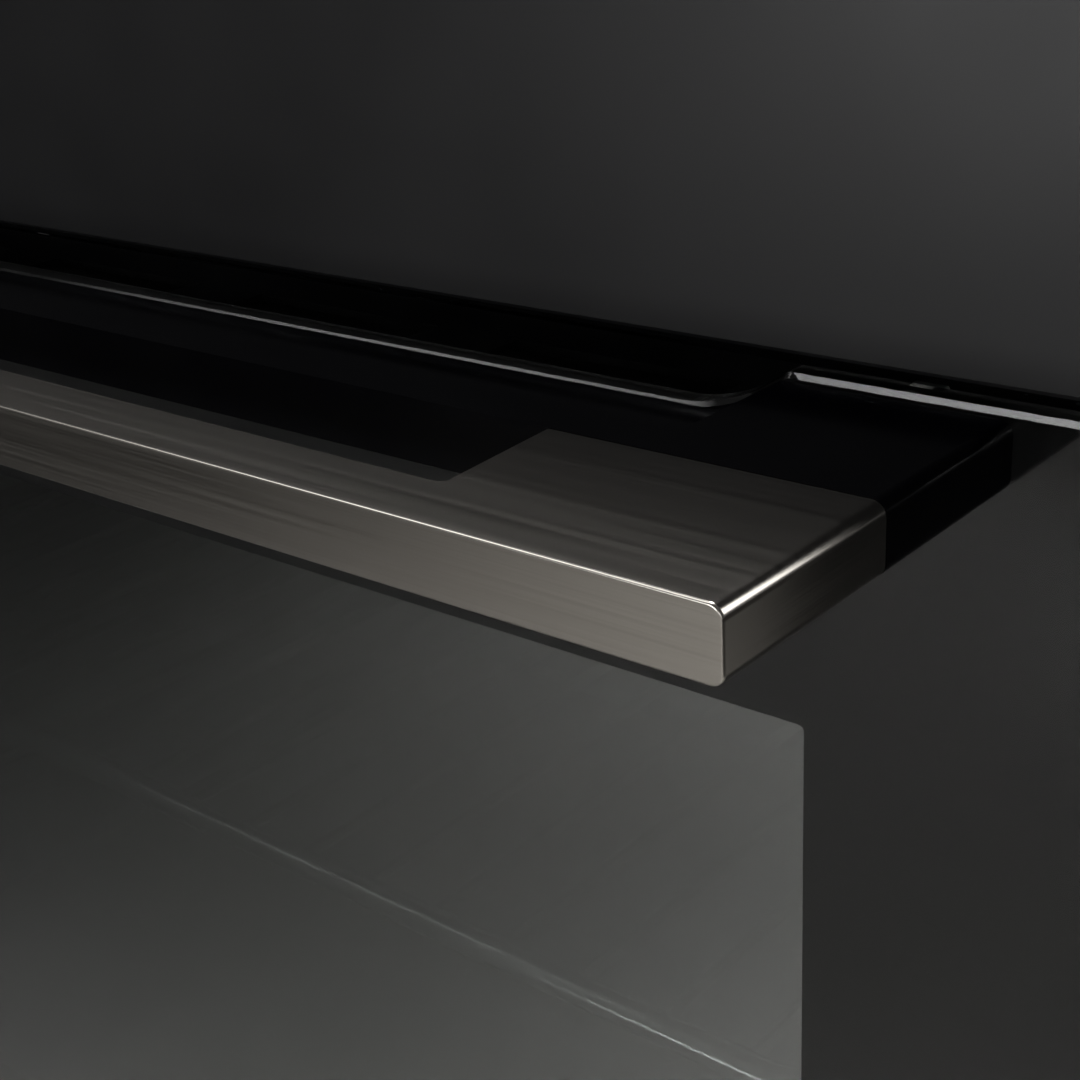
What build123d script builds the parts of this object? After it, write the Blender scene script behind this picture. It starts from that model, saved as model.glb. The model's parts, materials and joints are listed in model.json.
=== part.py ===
from build123d import *
import math
import os

# Built-in oven with a drop-down door. X runs across, the front faces -Y and +Z is up.
# The origin is on the underside of the base, on the middle plane, half way along the depth.
# All sizes are in millimetres.

# Front, from the bottom up
front_width = 594.0
trim_lift = 3.0
trim_height = 13.0
trim_depth = 11.5
door_clearance = 3.0
door_height = 463.5
panel_gap = 2.2
panel_height = 109.3

# Glass
glass_thickness = 4.0
glass_bevel = 0.6
glass_corner = 2.5
print_thickness = 0.3
print_inset = 1.5
middle_glass_thickness = 3.2
inner_glass_thickness = 4.0

# Handle
handle_width = 530.0
handle_height = 8.0
handle_reach = 54.0
handle_below_top = 1.0
handle_corner = 1.6
handle_arris = 0.3
bar_depth = 27.5
grip_depth = 9.25
block_width = 40.0
block_flare = 1.4
slot_corner = 0.8
scoop_start = 6.0

# Handle screws
screw_radius = 2.0
screw_head = 3.5
screw_head_height = 2.5
screw_inset = 14.0
screw_bite = 12.0
screw_room = 0.8

# Dip in the top edge of the door glass over the handle
dip_inset = 27.3
dip_drop = 5.9
dip_slope = 33.0
dip_top_radius = 2.0
dip_low_radius = 20.0

# Window, measured from the handle's end and top
window_inset = 25.4
window_below = 44.2
window_height = 318.0
window_corner = 0.8

# Housing
housing_width = 556.0
housing_height = 584.0
housing_depth = 520.0
motor_bulge = 25.0
bulge_half = 78.0
bulge_bevel = 14.0
bulge_clip = 24.0
sheet = 1.0
frame_sheet = 1.5
flange = 12.0
frame_margin = 7.0
fixing_radius = 2.75
fixing_low = 60.0
fixing_high = 440.0
fixing_edge = 5.5
vent_height = 5.0
side_vent_height = 46.0
screw_margin = 30.0
rear_vent_drop = 30.0
rear_vent_pitch = 14.0
base_edge = 18.0
base_rib_width = 12.0
base_rib_height = 3.0

# Cavity
cavity_width = 480.0
cavity_height = 355.0
cavity_depth = 455.0
cavity_lift = 90.0
cavity_corner = 20.0
fan_chamber = 45.0
lagging = 25.0
lagging_clip = 16.0

# Seal round the cavity mouth
seal_gap = 5.0
seal_width = 9.0
seal_inset = 3.0
seal_squeeze = 0.3
seal_bevel = 2.5

# Door
door_depth = 38.0
rail_sheet = 1.2
rail_wall = 2.0
rail_lip = 8.0
side_profile_width = 22.0
side_profile_inset = 2.0
side_top_gap = 11.0
top_rail_drop = 24.0
top_rail_web = 6.0
inner_glass_margin = 15.0
inner_glass_bottom = 62.0
bottom_rail_lift = 3.0
bottom_rail_upstand = 16.0
air_gap = 13.0

# Supports of the middle pane
support_groove = 4.0
support_width = 26.0
support_rise = 14.0
support_grip = 3.0
middle_glass_room = 5.0

# Hinge
hinge_inset = 42.0
pivot_back = 15.5
pivot_up = 11.0
arm_thickness = 5.0
arm_height = 10.0
arm_reach = 38.0
arm_eye = 7.5
arm_slot_height = 16.0
case_width = 15.0
case_depth = 26.0
case_height = 165.0
case_sheet = 1.5
pin_radius = 4.0
pin_head = 1.5
seat_pin = 2.5
seat_pin_share = 0.55
seat_sheet = 2.0
seat_gap = 0.5
seat_drop = 9.0
seat_rise = 6.0
hook_depth = 4.0
running_clearance = 0.05

# Racks
rack_wire = 3.0
rack_bend = 12.0
rack_gap = 2.0
rack_front = 30.0
rack_back = 18.0
rack_low = 17.0
rack_high = 22.0
level_wire = 2.5
lowest_level = 35.0
level_pitch = 62.0
level_count = 5
level_overhang = 5.0
guide_rise = 17.0
stud_size = 3.0
stud_head = 6.0
stud_head_thickness = 2.0
stud_inset = 28.0

# Telescopic runners
shelf_level = 3
runner_front = 18.0
runner_length = 375.0
runner_height = 20.0
runner_depth = 12.0
runner_sheet = 1.2
runner_play = 0.4
ledge_width = 10.0
stop_height = 7.0
stop_thickness = 2.0

# Shelf
shelf_wire = 3.5
shelf_bend = 16.0
bar_wire = 1.8
bar_count = 9

# Baking tray
tray_level = 1
tray_front = 20.0
tray_length = 350.0
tray_depth = 32.0
tray_wall = 1.0
tray_rim = 12.0
tray_corner = 22.0
tray_draft = 12.0
tray_room = 2.0
rim_room = 0.7

# Hot-air fan and its cover
baffle_half = 125.0
baffle_clip = 28.0
baffle_bevel = 5.0
intake_count = 10
intake_radius = 31.0
fan_radius = 75.0
fan_blade_count = 8
fan_back = 14.0
blade_depth = 22.0
blade_sheet = 1.2
hub_radius = 11.0
shaft_radius = 4.0
shaft_room = 3.0
motor_standoff = 4.0
motor_depth = 34.0
motor_width = 76.0
motor_height = 62.0

# Heating elements
heater_tube = 3.25
plate_sheet = 1.5
plate_rim = 8.0
leg_room = 4.0
leg_bend = 9.0
leg_tail = 6.0
ring_radius = 95.0
ring_end = 30.0
ring_back = 22.0
ring_chord_count = 12
grill_drop = 22.0
grill_leg = 60.0
grill_half = 168.0
grill_inner = 56.0
grill_bend = 20.0
base_leg = 40.0
base_loop = 150.0

# Probe and lamp
probe_x = -150.0
probe_radius = 3.0
probe_reach = 70.0
lamp_x = 160.0
lamp_back = 60.0
lamp_width = 56.0
lamp_length = 42.0
lamp_brim = 4.0
lamp_wall = 1.5
lamp_depth = 12.0
bulb_radius = 6.0

# Cooling blower and its air path
channel_gap = 2.0
blower_x = -50.0
blower_y = 130.0
blower_radius = 50.0
blower_blade_count = 9
blower_share = 0.31
blower_shaft = 3.0
drum_width = 13.0
scroll_radius = 76.0
scroll_shrink = 18.0
scroll_run_count = 9
outlet_width = 52.0
mouth_reach = 74.0
intake_side_count = 12
duct_half = 190.0
outlet_count = 6

# Fascia and electrics
display_half = 85.0
display_height = 46.0
carrier_wall = 2.0
carrier_inset = 3.0
board_sheet = 1.6
display_depth = 11.0
power_x = 120.0
power_y = 60.0
power_width = 130.0
power_length = 150.0
post_height = 8.0

# Supply terminals
terminal_x = -175.0
terminal_drop = 79.0
terminal_width = 70.0
terminal_height = 46.0
terminal_wall = 2.0
gland_bore = 5.0
gland_wall = 2.0
gland_length = 14.0
gland_neck = 4.0

# Room left between a piece and its seat, and the chords that stand for a bend or a pressed corner
clear = 0.3
bend_chord_count = 2
corner_chord_count = 3

# Planes worked out from the sizes above
y_face = -(housing_depth + motor_bulge) / 2
y_frame_back = y_face + frame_sheet
y_rear = y_face + housing_depth
y_end = y_rear + motor_bulge
y_door_back = y_face - seal_gap
y_glass = y_door_back - door_depth
y_glass_back = y_glass + glass_thickness
y_print = y_glass_back + print_thickness
y_pane = y_door_back - inner_glass_thickness
y_middle = y_print + air_gap
y_handle = y_glass - handle_reach
y_bar_back = y_handle + bar_depth
y_chamber = y_face + cavity_depth - fan_chamber
y_cavity_back = y_face + cavity_depth
y_lagging_back = y_cavity_back + sheet + lagging
y_leg = y_lagging_back + leg_tail
y_lamp = y_chamber - lamp_back

z_trim_top = trim_lift + trim_height
z_door = z_trim_top + door_clearance
z_door_top = z_door + door_height
z_panel = z_door_top + panel_gap
z_panel_top = z_panel + panel_height
z_panel_mid = z_panel + panel_height / 2
z_handle = z_door_top - handle_below_top
z_handle_low = z_handle - handle_height
z_handle_mid = z_handle - handle_height / 2
z_window_top = z_handle - window_below
z_window = z_window_top - window_height
z_side_top = z_door_top - side_top_gap
z_rail = z_door + bottom_rail_lift
z_web = z_handle_mid - top_rail_web
z_cavity_top = cavity_lift + cavity_height
z_cavity_mid = cavity_lift + cavity_height / 2
z_lagging_top = z_cavity_top + sheet + lagging
z_channel = z_lagging_top + channel_gap
z_plate = z_channel + sheet
z_frame_top = z_door_top + 1.0
z_outlet = z_frame_top - vent_height - frame_sheet
blower_height = (housing_height - z_plate) * blower_share
z_blower_top = z_plate + blower_height
z_grill = z_cavity_top - grill_drop
z_base_heater = cavity_lift - sheet - heater_tube / math.cos(math.pi / 6)

window_half = handle_width / 2 - window_inset
dip_half = handle_width / 2 - dip_inset
cavity_half = cavity_width / 2
housing_half = housing_width / 2
frame_half = front_width / 2 - frame_margin
rail_half = frame_half - side_profile_inset - side_profile_width
hinge_offset = front_width / 2 - hinge_inset
middle_glass_half = hinge_offset - case_width / 2 - middle_glass_room

y_pivot = y_glass + pivot_back
z_pivot = z_door + pivot_up
y_seat_pin = y_frame_back + arm_reach * seat_pin_share
pin_flat = pin_radius * math.cos(math.pi / 6)

x_rack = cavity_half - rack_gap - rack_wire
x_level = x_rack - rack_wire - level_wire
y_rack_front = y_face + rack_front
y_rack_back = y_chamber - rack_back
z_rack_low = cavity_lift + rack_low
z_rack_high = z_cavity_top - rack_high

level_tip = level_wire / math.cos(math.pi / 6)
rack_tip = rack_wire / math.cos(math.pi / 6)
shelf_tip = shelf_wire / math.cos(math.pi / 6)


def level_z(index):
    """The middle of a level's lower wire."""
    return cavity_lift + lowest_level + index * level_pitch


x_runner = x_level - level_wire
x_inner_rail = x_runner - runner_depth - 1.0
y_runner = y_face + runner_front
z_runner = level_z(shelf_level) + guide_rise / 2 - runner_height / 2
runner_nest = runner_sheet + runner_play
x_shelf = x_inner_rail - runner_sheet - shelf_wire - clear
z_shelf = z_runner + 2 * runner_nest + runner_sheet + shelf_tip

rim_half = x_rack - rack_wire - rim_room
tray_half = x_level - level_wire - tray_room
z_rim = level_z(tray_level) + level_tip + clear
y_tray_mid = y_face + tray_front + (tray_length + tray_rim) / 2

y_blower_mouth = blower_y - mouth_reach
y_gland = y_rear + (motor_bulge - carrier_inset) / 2
z_terminal = housing_height - terminal_drop


# Shared shapes
def block(x0, x1, y0, y1, z0, z1):
    """A cuboid between two corners."""
    return Pos((x0 + x1) / 2, (y0 + y1) / 2, (z0 + z1) / 2) * Box(x1 - x0, y1 - y0, z1 - z0)


def facing(outline, y_front, y_back):
    """A front-view outline given depth between two upright planes."""
    return extrude(Plane.XZ.offset(-y_back) * outline, y_back - y_front)


def across(outline, x_left, x_right):
    """A side-view outline given width between two planes."""
    return extrude(Plane.YZ.offset(x_left) * outline, x_right - x_left)


def upward(outline, z_low, z_high):
    """A plan outline given height between two levels."""
    return extrude(Plane.XY.offset(z_low) * outline, z_high - z_low)


def area(*points):
    """The flat face inside a closed run of straight lines."""
    return make_face(Polyline(*points, close=True))


def framed(x0, x1, z0, z1, radius=0.0):
    """A front-view rectangle between two corners, rounded if a radius is given."""
    width, height = x1 - x0, z1 - z0
    shape = RectangleRounded(width, height, radius) if radius else Rectangle(width, height)
    return Pos((x0 + x1) / 2, (z0 + z1) / 2) * shape


def clipped(width, height, cut):
    """A rectangle with its corners cut off at forty-five degrees, centred on the origin."""
    x, y = width / 2, height / 2
    return area(
        (x - cut, -y), (x, cut - y), (x, y - cut), (x - cut, y),
        (cut - x, y), (-x, y - cut), (-x, cut - y), (cut - x, -y),
    )


def chorded(width, height, radius):
    """A rectangle whose round corners are made of short chords, centred on the origin."""
    x, y = width / 2, height / 2
    corners = [(0, -y), (x, -y), (x, y), (-x, y), (-x, -y), (0, -y)]
    return area(*bent(corners, radius, corner_chord_count)[:-1])


def folded(points, thickness):
    """The section of a folded sheet: a path, and the same path moved to its left by the thickness."""
    path = [Vector(*point) for point in points]
    turned = [(b - a).normalized().rotate(Axis.Z, 90) for a, b in zip(path, path[1:])]
    moved = [path[0] + turned[0] * thickness]
    for corner, before, after in zip(path[1:], turned, turned[1:]):
        moved.append(corner + (before + after) * (thickness / (1 + before.dot(after))))
    moved.append(path[-1] + turned[-1] * thickness)
    return area(*path, *reversed(moved))


def rod(x, y, z, radius, length, direction):
    """A round rod from a point along a direction."""
    return extrude(Plane(origin=(x, y, z), z_dir=direction) * Circle(radius), length)


def bar(x, y, z, radius, length, direction, turn=0.0):
    """A six-sided rod whose flats lie at the radius; unturned, the first pair of flats is level."""
    side = (0, 1, 0) if direction[0] else (1, 0, 0)
    plane = Plane(origin=(x, y, z), x_dir=side, z_dir=direction)
    section = RegularPolygon(radius, 6, major_radius=False, rotation=turn)
    return extrude(plane * section, length)


def bent(points, radius, chords=bend_chord_count):
    """The same run of points, with chords of an arc in place of each corner."""
    run = [Vector(*points[0])]
    for before, corner, after in zip(points, points[1:], points[2:]):
        corner = Vector(*corner)
        back = (Vector(*before) - corner).normalized()
        on = (Vector(*after) - corner).normalized()
        half = math.radians(back.get_angle(on)) / 2
        centre = corner + (back + on).normalized() * (radius / math.sin(half))
        start = corner + back * (radius / math.tan(half)) - centre
        end = corner + on * (radius / math.tan(half)) - centre
        turn = math.pi - 2 * half
        for step in range(chords + 1):
            part = turn * step / chords
            run.append(centre + (start * math.sin(turn - part) + end * math.sin(part)) / math.sin(turn))
    return [*run, Vector(*points[-1])]


def wire(points, radius, normal, turn=0.0):
    """A six-sided wire along straight runs; unturned, its flats face across the plane it lies in."""
    path = Polyline(*points)
    plane = Plane(origin=path @ 0, x_dir=normal, z_dir=path % 0)
    section = RegularPolygon(radius, 6, major_radius=False, rotation=turn)
    return sweep(plane * section, path=path, transition=Transition.RIGHT)


def both_sides(shape):
    """A piece and its mirror image on the other side of the middle plane, as two solids."""
    return Compound(children=[*shape.solids(), *mirror(shape, about=Plane.YZ).solids()])


def group(shapes):
    """Separate solids kept as one piece list."""
    return Compound(children=[solid for shape in shapes for solid in shape.solids()])


def slots_in_row(count, pitch, width, height):
    """A row of slots centred on the origin of its plane."""
    first = -(count - 1) * pitch / 2
    return Sketch() + [Pos(first + i * pitch, 0) * Rectangle(width, height) for i in range(count)]


def leaning_blade(inner, outer, lean, thickness):
    """The plan of one flat blade: a thin strip that leans back from an inner to an outer radius."""
    start = Vector(inner, 0)
    end = Vector(outer * math.cos(lean), outer * math.sin(lean))
    side = (end - start).normalized().rotate(Axis.Z, 90) * thickness
    return area(start, end, end + side, start + side)


# Front glass and handle
def dipped_outline(half_width, z_low, z_high, lowered=0.0):
    """The door's front outline, with a top edge that dips by two arcs and a short slope each side."""
    slope = math.radians(dip_slope)
    by_arcs = (dip_top_radius + dip_low_radius) * (1 - math.cos(slope))
    straight = (dip_drop - by_arcs) / math.sin(slope)
    top = z_high - lowered
    level = Line((half_width, top), (dip_half, top))
    over = JernArc(level @ 1, (-1, 0), dip_top_radius, dip_slope)
    down = Line(over @ 1, (over @ 1) + (over % 1) * straight)
    under = JernArc(down @ 1, down % 1, dip_low_radius, -dip_slope)
    right = [Line((half_width, z_low), (half_width, top)), level, over, down, under]
    left = [mirror(edge, about=Plane.YZ) for edge in right]
    dip = Line(under @ 1, (-(under @ 1).X, (under @ 1).Y))
    sill = Line((-half_width, z_low), (half_width, z_low))
    return make_face([*right, dip, *left, sill])


def shank_outline(room=0.0):
    """The eight-sided section that stands for a handle screw's thread, with room round it."""
    return RegularPolygon(screw_radius + room, 8)


def handle_screw_holes(outline, y_from, y_to):
    """Holes where the handle is screwed on, one near each end."""
    return both_sides(facing(Pos(handle_width / 2 - screw_inset, z_handle_mid) * outline, y_from, y_to))


def door_glass_outer():
    """The outer pane with its dipped top edge, rounded corners, ground bevel and handle holes."""
    outline = dipped_outline(front_width / 2, z_door, z_door_top)
    pane = facing(outline, y_glass, y_glass_back)
    corners = [e for e in pane.edges().filter_by(Axis.Y) if abs(e.center().X) > front_width / 2 - 1]
    pane = fillet(corners, glass_corner)
    pane = chamfer(pane.faces().sort_by(Axis.Y)[0].edges(), glass_bevel)
    return pane - handle_screw_holes(Circle(screw_radius + screw_room), y_glass - 1, y_glass_back + 1)


def door_border_print():
    """The opaque border fired on the back of the outer pane, clear of the window."""
    half = front_width / 2 - print_inset
    outline = dipped_outline(half, z_door + print_inset, z_door_top, print_inset)
    window = framed(-window_half, window_half, z_window, z_window_top, window_corner)
    border = facing(outline - window, y_glass_back, y_print)
    return border - handle_screw_holes(shank_outline(screw_room), y_glass, y_print + 1)


def handle_bar():
    """The flat steel bar: two solid end blocks joined by a grip, round-cornered in front view."""
    half = handle_width / 2
    section = framed(-half, half, z_handle_low, z_handle, handle_corner)
    steel = facing(section, y_handle, y_bar_back)
    steel = chamfer(steel.faces().sort_by(Axis.Y)[0].edges(), handle_arris)
    y_grip = y_handle + grip_depth
    front, back = half - block_width, half - block_width - block_flare
    slot = upward(
        area((front, y_grip), (back, y_bar_back + 1), (-back, y_bar_back + 1), (-front, y_grip)),
        z_handle_low - 1,
        z_handle + 1,
    )
    slot = fillet(slot.edges().filter_by(Axis.Z).sort_by(Axis.Y)[:2], slot_corner)
    return steel - slot - handle_screw_holes(shank_outline(), y_bar_back - screw_bite, y_bar_back + 1)


def handle_base():
    """The black slab between bar and glass, scooped on top down to the dip in the glass."""
    half = handle_width / 2
    slab = facing(framed(-half, half, z_handle_low, z_handle, handle_corner), y_bar_back, y_glass)
    fall = z_handle - (z_door_top - dip_drop - glass_bevel)
    run = y_glass - y_bar_back - scoop_start
    radius = (run * run + fall * fall) / (2 * fall)
    start = (y_bar_back + scoop_start, z_handle)
    curve = JernArc(start, (1, 0), radius, -math.degrees(math.asin(run / radius)))
    past, roof = y_glass + 1, z_handle + handle_height
    rim = Polyline(curve @ 1, (past, (curve @ 1).Y), (past, roof), (start[0], roof), start)
    hollow = across(make_face([curve, *rim.edges()]), -half, half)
    under = dipped_outline(half + 1, z_handle_low - 1, z_door_top, glass_bevel)
    above = framed(-half, half, z_handle_low, roof) - under
    hollow = hollow & facing(above, y_bar_back, past)
    return slab - hollow - handle_screw_holes(shank_outline(running_clearance), y_bar_back - 1, past)


def handle_screws():
    """Two long screws from the top rail through glass and slab into the bar's end blocks."""
    x, z = handle_width / 2 - screw_inset, z_handle_mid
    y_head = y_print + rail_wall
    y_tip = y_bar_back - screw_bite + 1
    shank = facing(Pos(x, z) * shank_outline(), y_tip, y_head)
    return both_sides(shank + bar(x, y_head, z, screw_head, screw_head_height, (0, 1, 0)))


# Door body behind the outer pane
def door_side_right():
    """The channel up the door's right edge, open towards the middle, that carries the panes."""
    x_in, x_out = rail_half, rail_half + side_profile_width
    section = folded([(x_in, y_print), (x_out, y_print), (x_out, y_pane), (x_in, y_pane)], rail_sheet)
    return upward(section, z_rail, z_side_top)


def door_glass_inner():
    """The inner pane, seated on the rear flanges of the two side channels."""
    half = front_width / 2 - inner_glass_margin
    tall = z_side_top - inner_glass_bottom
    outline = Pos(0, inner_glass_bottom + tall / 2) * clipped(2 * half, tall, glass_corner)
    pane = facing(outline, y_pane, y_door_back)
    return chamfer(pane.faces().sort_by(Axis.Y)[-1].edges(), glass_bevel)


def door_glass_middle():
    """The middle pane, held in the grooves of four supports."""
    low = inner_glass_bottom + support_groove
    high = z_web - rail_sheet - support_groove
    outline = Pos(0, (low + high) / 2) * clipped(2 * middle_glass_half, high - low, glass_corner)
    return facing(outline, y_middle, y_middle + middle_glass_thickness)


def glass_supports():
    """Four grooved blocks: two stand on the bottom rail's lip and two hang from the top rail."""
    x_mid = middle_glass_half - support_width
    thick = middle_glass_thickness / 2
    y_mid = y_middle + thick
    grip = support_grip

    def support(z_seat, direction):
        tip = z_seat + direction * support_rise
        groove = z_seat + direction * support_groove
        outline = area(
            (y_mid - thick - 2 * grip, z_seat),
            (y_mid + thick + 2 * grip, z_seat),
            (y_mid + thick + grip, tip),
            (y_mid + thick, tip),
            (y_mid + thick, groove),
            (y_mid - thick, groove),
            (y_mid - thick, tip),
            (y_mid - thick - grip, tip),
        )
        return across(outline, x_mid - support_width / 2, x_mid + support_width / 2)

    return group([both_sides(support(inner_glass_bottom, 1)), both_sides(support(z_web - rail_sheet, -1))])


def door_top_rail():
    """The folded rail across the top: low behind the dip, full height where the handle is screwed on."""
    y_wall = y_print + rail_wall
    low = z_side_top - top_rail_drop
    path = [(y_wall, z_web), (y_pane, z_web), (y_pane, low), (y_pane - rail_lip, low)]
    channel = across(folded(path, -rail_sheet), -rail_half, rail_half)
    wall = framed(-rail_half, rail_half, low, z_door_top - dip_drop - 2 * glass_bevel)
    ear = framed(dip_half + dip_top_radius, rail_half, low, z_door_top - 2 * glass_bevel)
    wall = facing(wall + ear + mirror(ear, about=Plane.YZ), y_print, y_wall)
    vents = Plane.XY.offset(z_web) * Pos(0, (y_wall + y_pane) / 2) * slots_in_row(8, 56.0, 40.0, 7.0)
    rail = wall + channel - extrude(vents, 2 * rail_sheet, both=True)
    return rail - handle_screw_holes(shank_outline(running_clearance), y_print - 1, y_wall + 1)


def door_bottom_rail():
    """The folded rail across the bottom, cut open behind and below each hinge arm."""
    section = folded(
        [
            (y_print, z_rail + bottom_rail_upstand),
            (y_print, z_rail),
            (y_door_back, z_rail),
            (y_door_back, inner_glass_bottom),
            (y_middle - air_gap + rail_sheet, inner_glass_bottom),
        ],
        rail_sheet,
    )
    rail = across(section, -rail_half, rail_half)
    half = case_width / 2
    x0, x1, y0 = hinge_offset - half, hinge_offset + half, y_print + rail_sheet
    gap = block(x0, x1, y0, y_door_back + 1, z_rail - 1, inner_glass_bottom + 1)
    return rail - both_sides(gap)


def hinge_cases():
    """The two door-side hinge cases: channels open to the rear, with six-sided holes for the pivot pins."""
    y_web = y_print + rail_sheet
    x0, x1 = hinge_offset - case_width / 2, hinge_offset + case_width / 2
    y_edge = y_web + case_depth
    section = folded([(x0, y_edge), (x0, y_web), (x1, y_web), (x1, y_edge)], case_sheet)
    z_low = z_rail + rail_sheet
    case = upward(section, z_low, z_low + case_height)
    flats = pin_flat + running_clearance
    return both_sides(case - bar(x0 - 1, y_pivot, z_pivot, flats, case_width + 2, (1, 0, 0)))


def hinge_pins():
    """The two pivot pins: round between the cheeks, milled six-sided in them, headed towards the middle."""
    x0 = hinge_offset - case_width / 2
    pin = rod(x0 + case_sheet, y_pivot, z_pivot, pin_radius, case_width - 2 * case_sheet, (1, 0, 0))
    pin += bar(x0, y_pivot, z_pivot, pin_flat, case_width, (1, 0, 0))
    return both_sides(pin + bar(x0 - pin_head, y_pivot, z_pivot, pin_radius + pin_head, pin_head, (1, 0, 0)))


def hinge_arms():
    """The two arms: an eye on the pivot, a straight bar into the housing and a hook over the seat's pin."""
    y_tip = y_frame_back + arm_reach
    outline = Pos(y_pivot, z_pivot) * RegularPolygon(arm_eye, 10)
    outline += Pos((y_pivot + y_tip) / 2, z_pivot) * Rectangle(y_tip - y_pivot, arm_height)
    outline -= Pos(y_pivot, z_pivot) * Circle(pin_radius + running_clearance)
    outline -= Pos(y_seat_pin, z_pivot - arm_height / 2) * Rectangle(2 * seat_pin + 0.2, 2 * hook_depth)
    return both_sides(across(outline, hinge_offset - arm_thickness / 2, hinge_offset + arm_thickness / 2))


def hinge_seats():
    """The two pockets behind the front frame, each with the cross bar that its arm hooks over."""
    inner = arm_thickness / 2 + seat_gap
    x0, x1 = hinge_offset - inner - seat_sheet, hinge_offset + inner + seat_sheet
    z_low, z_high = z_pivot - arm_height / 2 - seat_drop, z_pivot + arm_height / 2 + seat_rise
    section = folded([(x0, z_high), (x0, z_low), (x1, z_low), (x1, z_high)], seat_sheet)
    seat = facing(section, y_frame_back, y_frame_back + arm_reach + hook_depth)
    z_pin = z_pivot - arm_height / 2 + hook_depth
    pin = block(x0, x1, y_seat_pin - seat_pin, y_seat_pin + seat_pin, z_pin - 2 * seat_pin, z_pin)
    return both_sides(seat + pin)


# Housing
def side_panel_right():
    """The right side sheet with turned-in edges and a row of vents near the top."""
    x_out, x_in = housing_half, housing_half - flange
    y0, y1 = y_frame_back, y_rear - sheet
    section = folded([(x_in, y1), (x_out, y1), (x_out, y0), (x_in, y0)], -sheet)
    panel = upward(section, sheet, housing_height - sheet)
    z_vent = housing_height - side_vent_height
    vents = Plane.YZ.offset(x_out - sheet) * Pos((y0 + y1) / 2, z_vent)
    vents = vents * slots_in_row(6, 40.0, vent_height, side_vent_height)
    return panel - extrude(vents, 2 * sheet, both=True)


def base_plate():
    """The floor sheet, turned up inside the two side panels and stiffened by two ribs."""
    x = housing_half - sheet
    y0, y1 = y_frame_back, y_rear - sheet
    edge = block(x - sheet, x, y0 + flange + 1, y1 - flange - 1, sheet, sheet + base_edge)
    plate = block(-housing_half, housing_half, y0, y1, 0, sheet) + edge + mirror(edge, about=Plane.YZ)
    for y in (y0 + housing_depth / 4, y1 - housing_depth / 4):
        ends = housing_half - 2 * flange
        rib = block(-ends, ends, y, y + base_rib_width, sheet, sheet + base_rib_height)
        plate += chamfer(rib.edges().filter_by(Axis.X).sort_by(Axis.Z)[-2:], base_rib_height - sheet)
    return plate


def top_cover():
    """The lid sheet with vents over the electrics."""
    y0, y1 = y_frame_back, y_rear - sheet
    lid = block(-housing_half, housing_half, y0, y1, housing_height - sheet, housing_height)
    for y in (y0 + housing_depth / 7, y1 - housing_depth / 8):
        vents = Plane.XY.offset(housing_height) * Pos(0, y) * slots_in_row(6, 78.0, 58.0, vent_height)
        lid -= extrude(vents, 2 * sheet, both=True)
    return lid


def rear_cover():
    """The back sheet with the opening for the motor and two rows of slots."""
    cover = block(-housing_half, housing_half, y_rear - sheet, y_rear, 0, housing_height)
    opening = Pos(0, z_cavity_mid) * clipped(2 * bulge_half - flange, 2 * bulge_half - flange, bulge_clip)
    cover -= facing(opening, y_rear - 2 * sheet, y_rear + sheet)
    for row in range(2):
        z = housing_height - rear_vent_drop - row * rear_vent_pitch
        vents = Plane.XZ.offset(-y_rear) * Pos(housing_half / 3, z) * slots_in_row(4, 55.0, 44.0, vent_height)
        cover -= extrude(vents, 2 * sheet, both=True)
    return cover


def motor_cover():
    """The pressed cap over the fan motor: a bevelled hollow with a brim on the back sheet."""
    here, size = Pos(0, z_cavity_mid), 2 * bulge_half
    cap = facing(here * clipped(size, size, bulge_clip), y_rear, y_end)
    cap = chamfer(cap.faces().sort_by(Axis.Y)[-1].edges(), bulge_bevel)
    cap += facing(here * clipped(size + 2 * flange, size + 2 * flange, bulge_clip), y_rear, y_rear + sheet)
    hollow = facing(here * clipped(size - 2 * sheet, size - 2 * sheet, bulge_clip), y_rear, y_end - sheet)
    return cap - chamfer(hollow.faces().sort_by(Axis.Y)[-1].edges(), bulge_bevel)


def front_frame():
    """The enamelled front sheet: cavity mouth, hinge slots, air outlets, cabinet holes and top fold."""
    outline = framed(-frame_half, frame_half, trim_lift, z_frame_top)
    frame = facing(outline - cavity_outline(), y_face, y_frame_back)
    for side in (-1, 1):
        x = side * hinge_offset
        z0, z1 = z_pivot - arm_slot_height / 2, z_pivot + arm_slot_height / 2
        frame -= block(x - arm_thickness, x + arm_thickness, y_face - 1, y_frame_back + 1, z0, z1)
        for z in (fixing_low, fixing_high):
            x = side * (frame_half - fixing_edge)
            frame -= rod(x, y_face - 1, z, fixing_radius, frame_sheet + 2, (0, 1, 0))
    outlets = slots_in_row(outlet_count, 66.0, 56.0, vent_height)
    frame -= facing(Pos(0, z_outlet) * outlets, y_face - 1, y_frame_back + 1)
    x = housing_half - flange - 2
    return frame + block(-x, x, y_frame_back, y_frame_back + flange, z_frame_top - frame_sheet, z_frame_top)


def bottom_trim():
    """The folded strip below the door with its row of air slots."""
    y_front = y_face - trim_depth
    path = [(y_face, z_trim_top), (y_front, z_trim_top), (y_front, trim_lift), (y_face, trim_lift)]
    strip = across(folded(path, sheet), -frame_half, frame_half)
    slots = Pos(0, (trim_lift + z_trim_top) / 2) * slots_in_row(8, 68.0, 50.0, trim_height / 3)
    return strip - facing(slots, y_front - 1, y_front + 2 * sheet)


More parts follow.
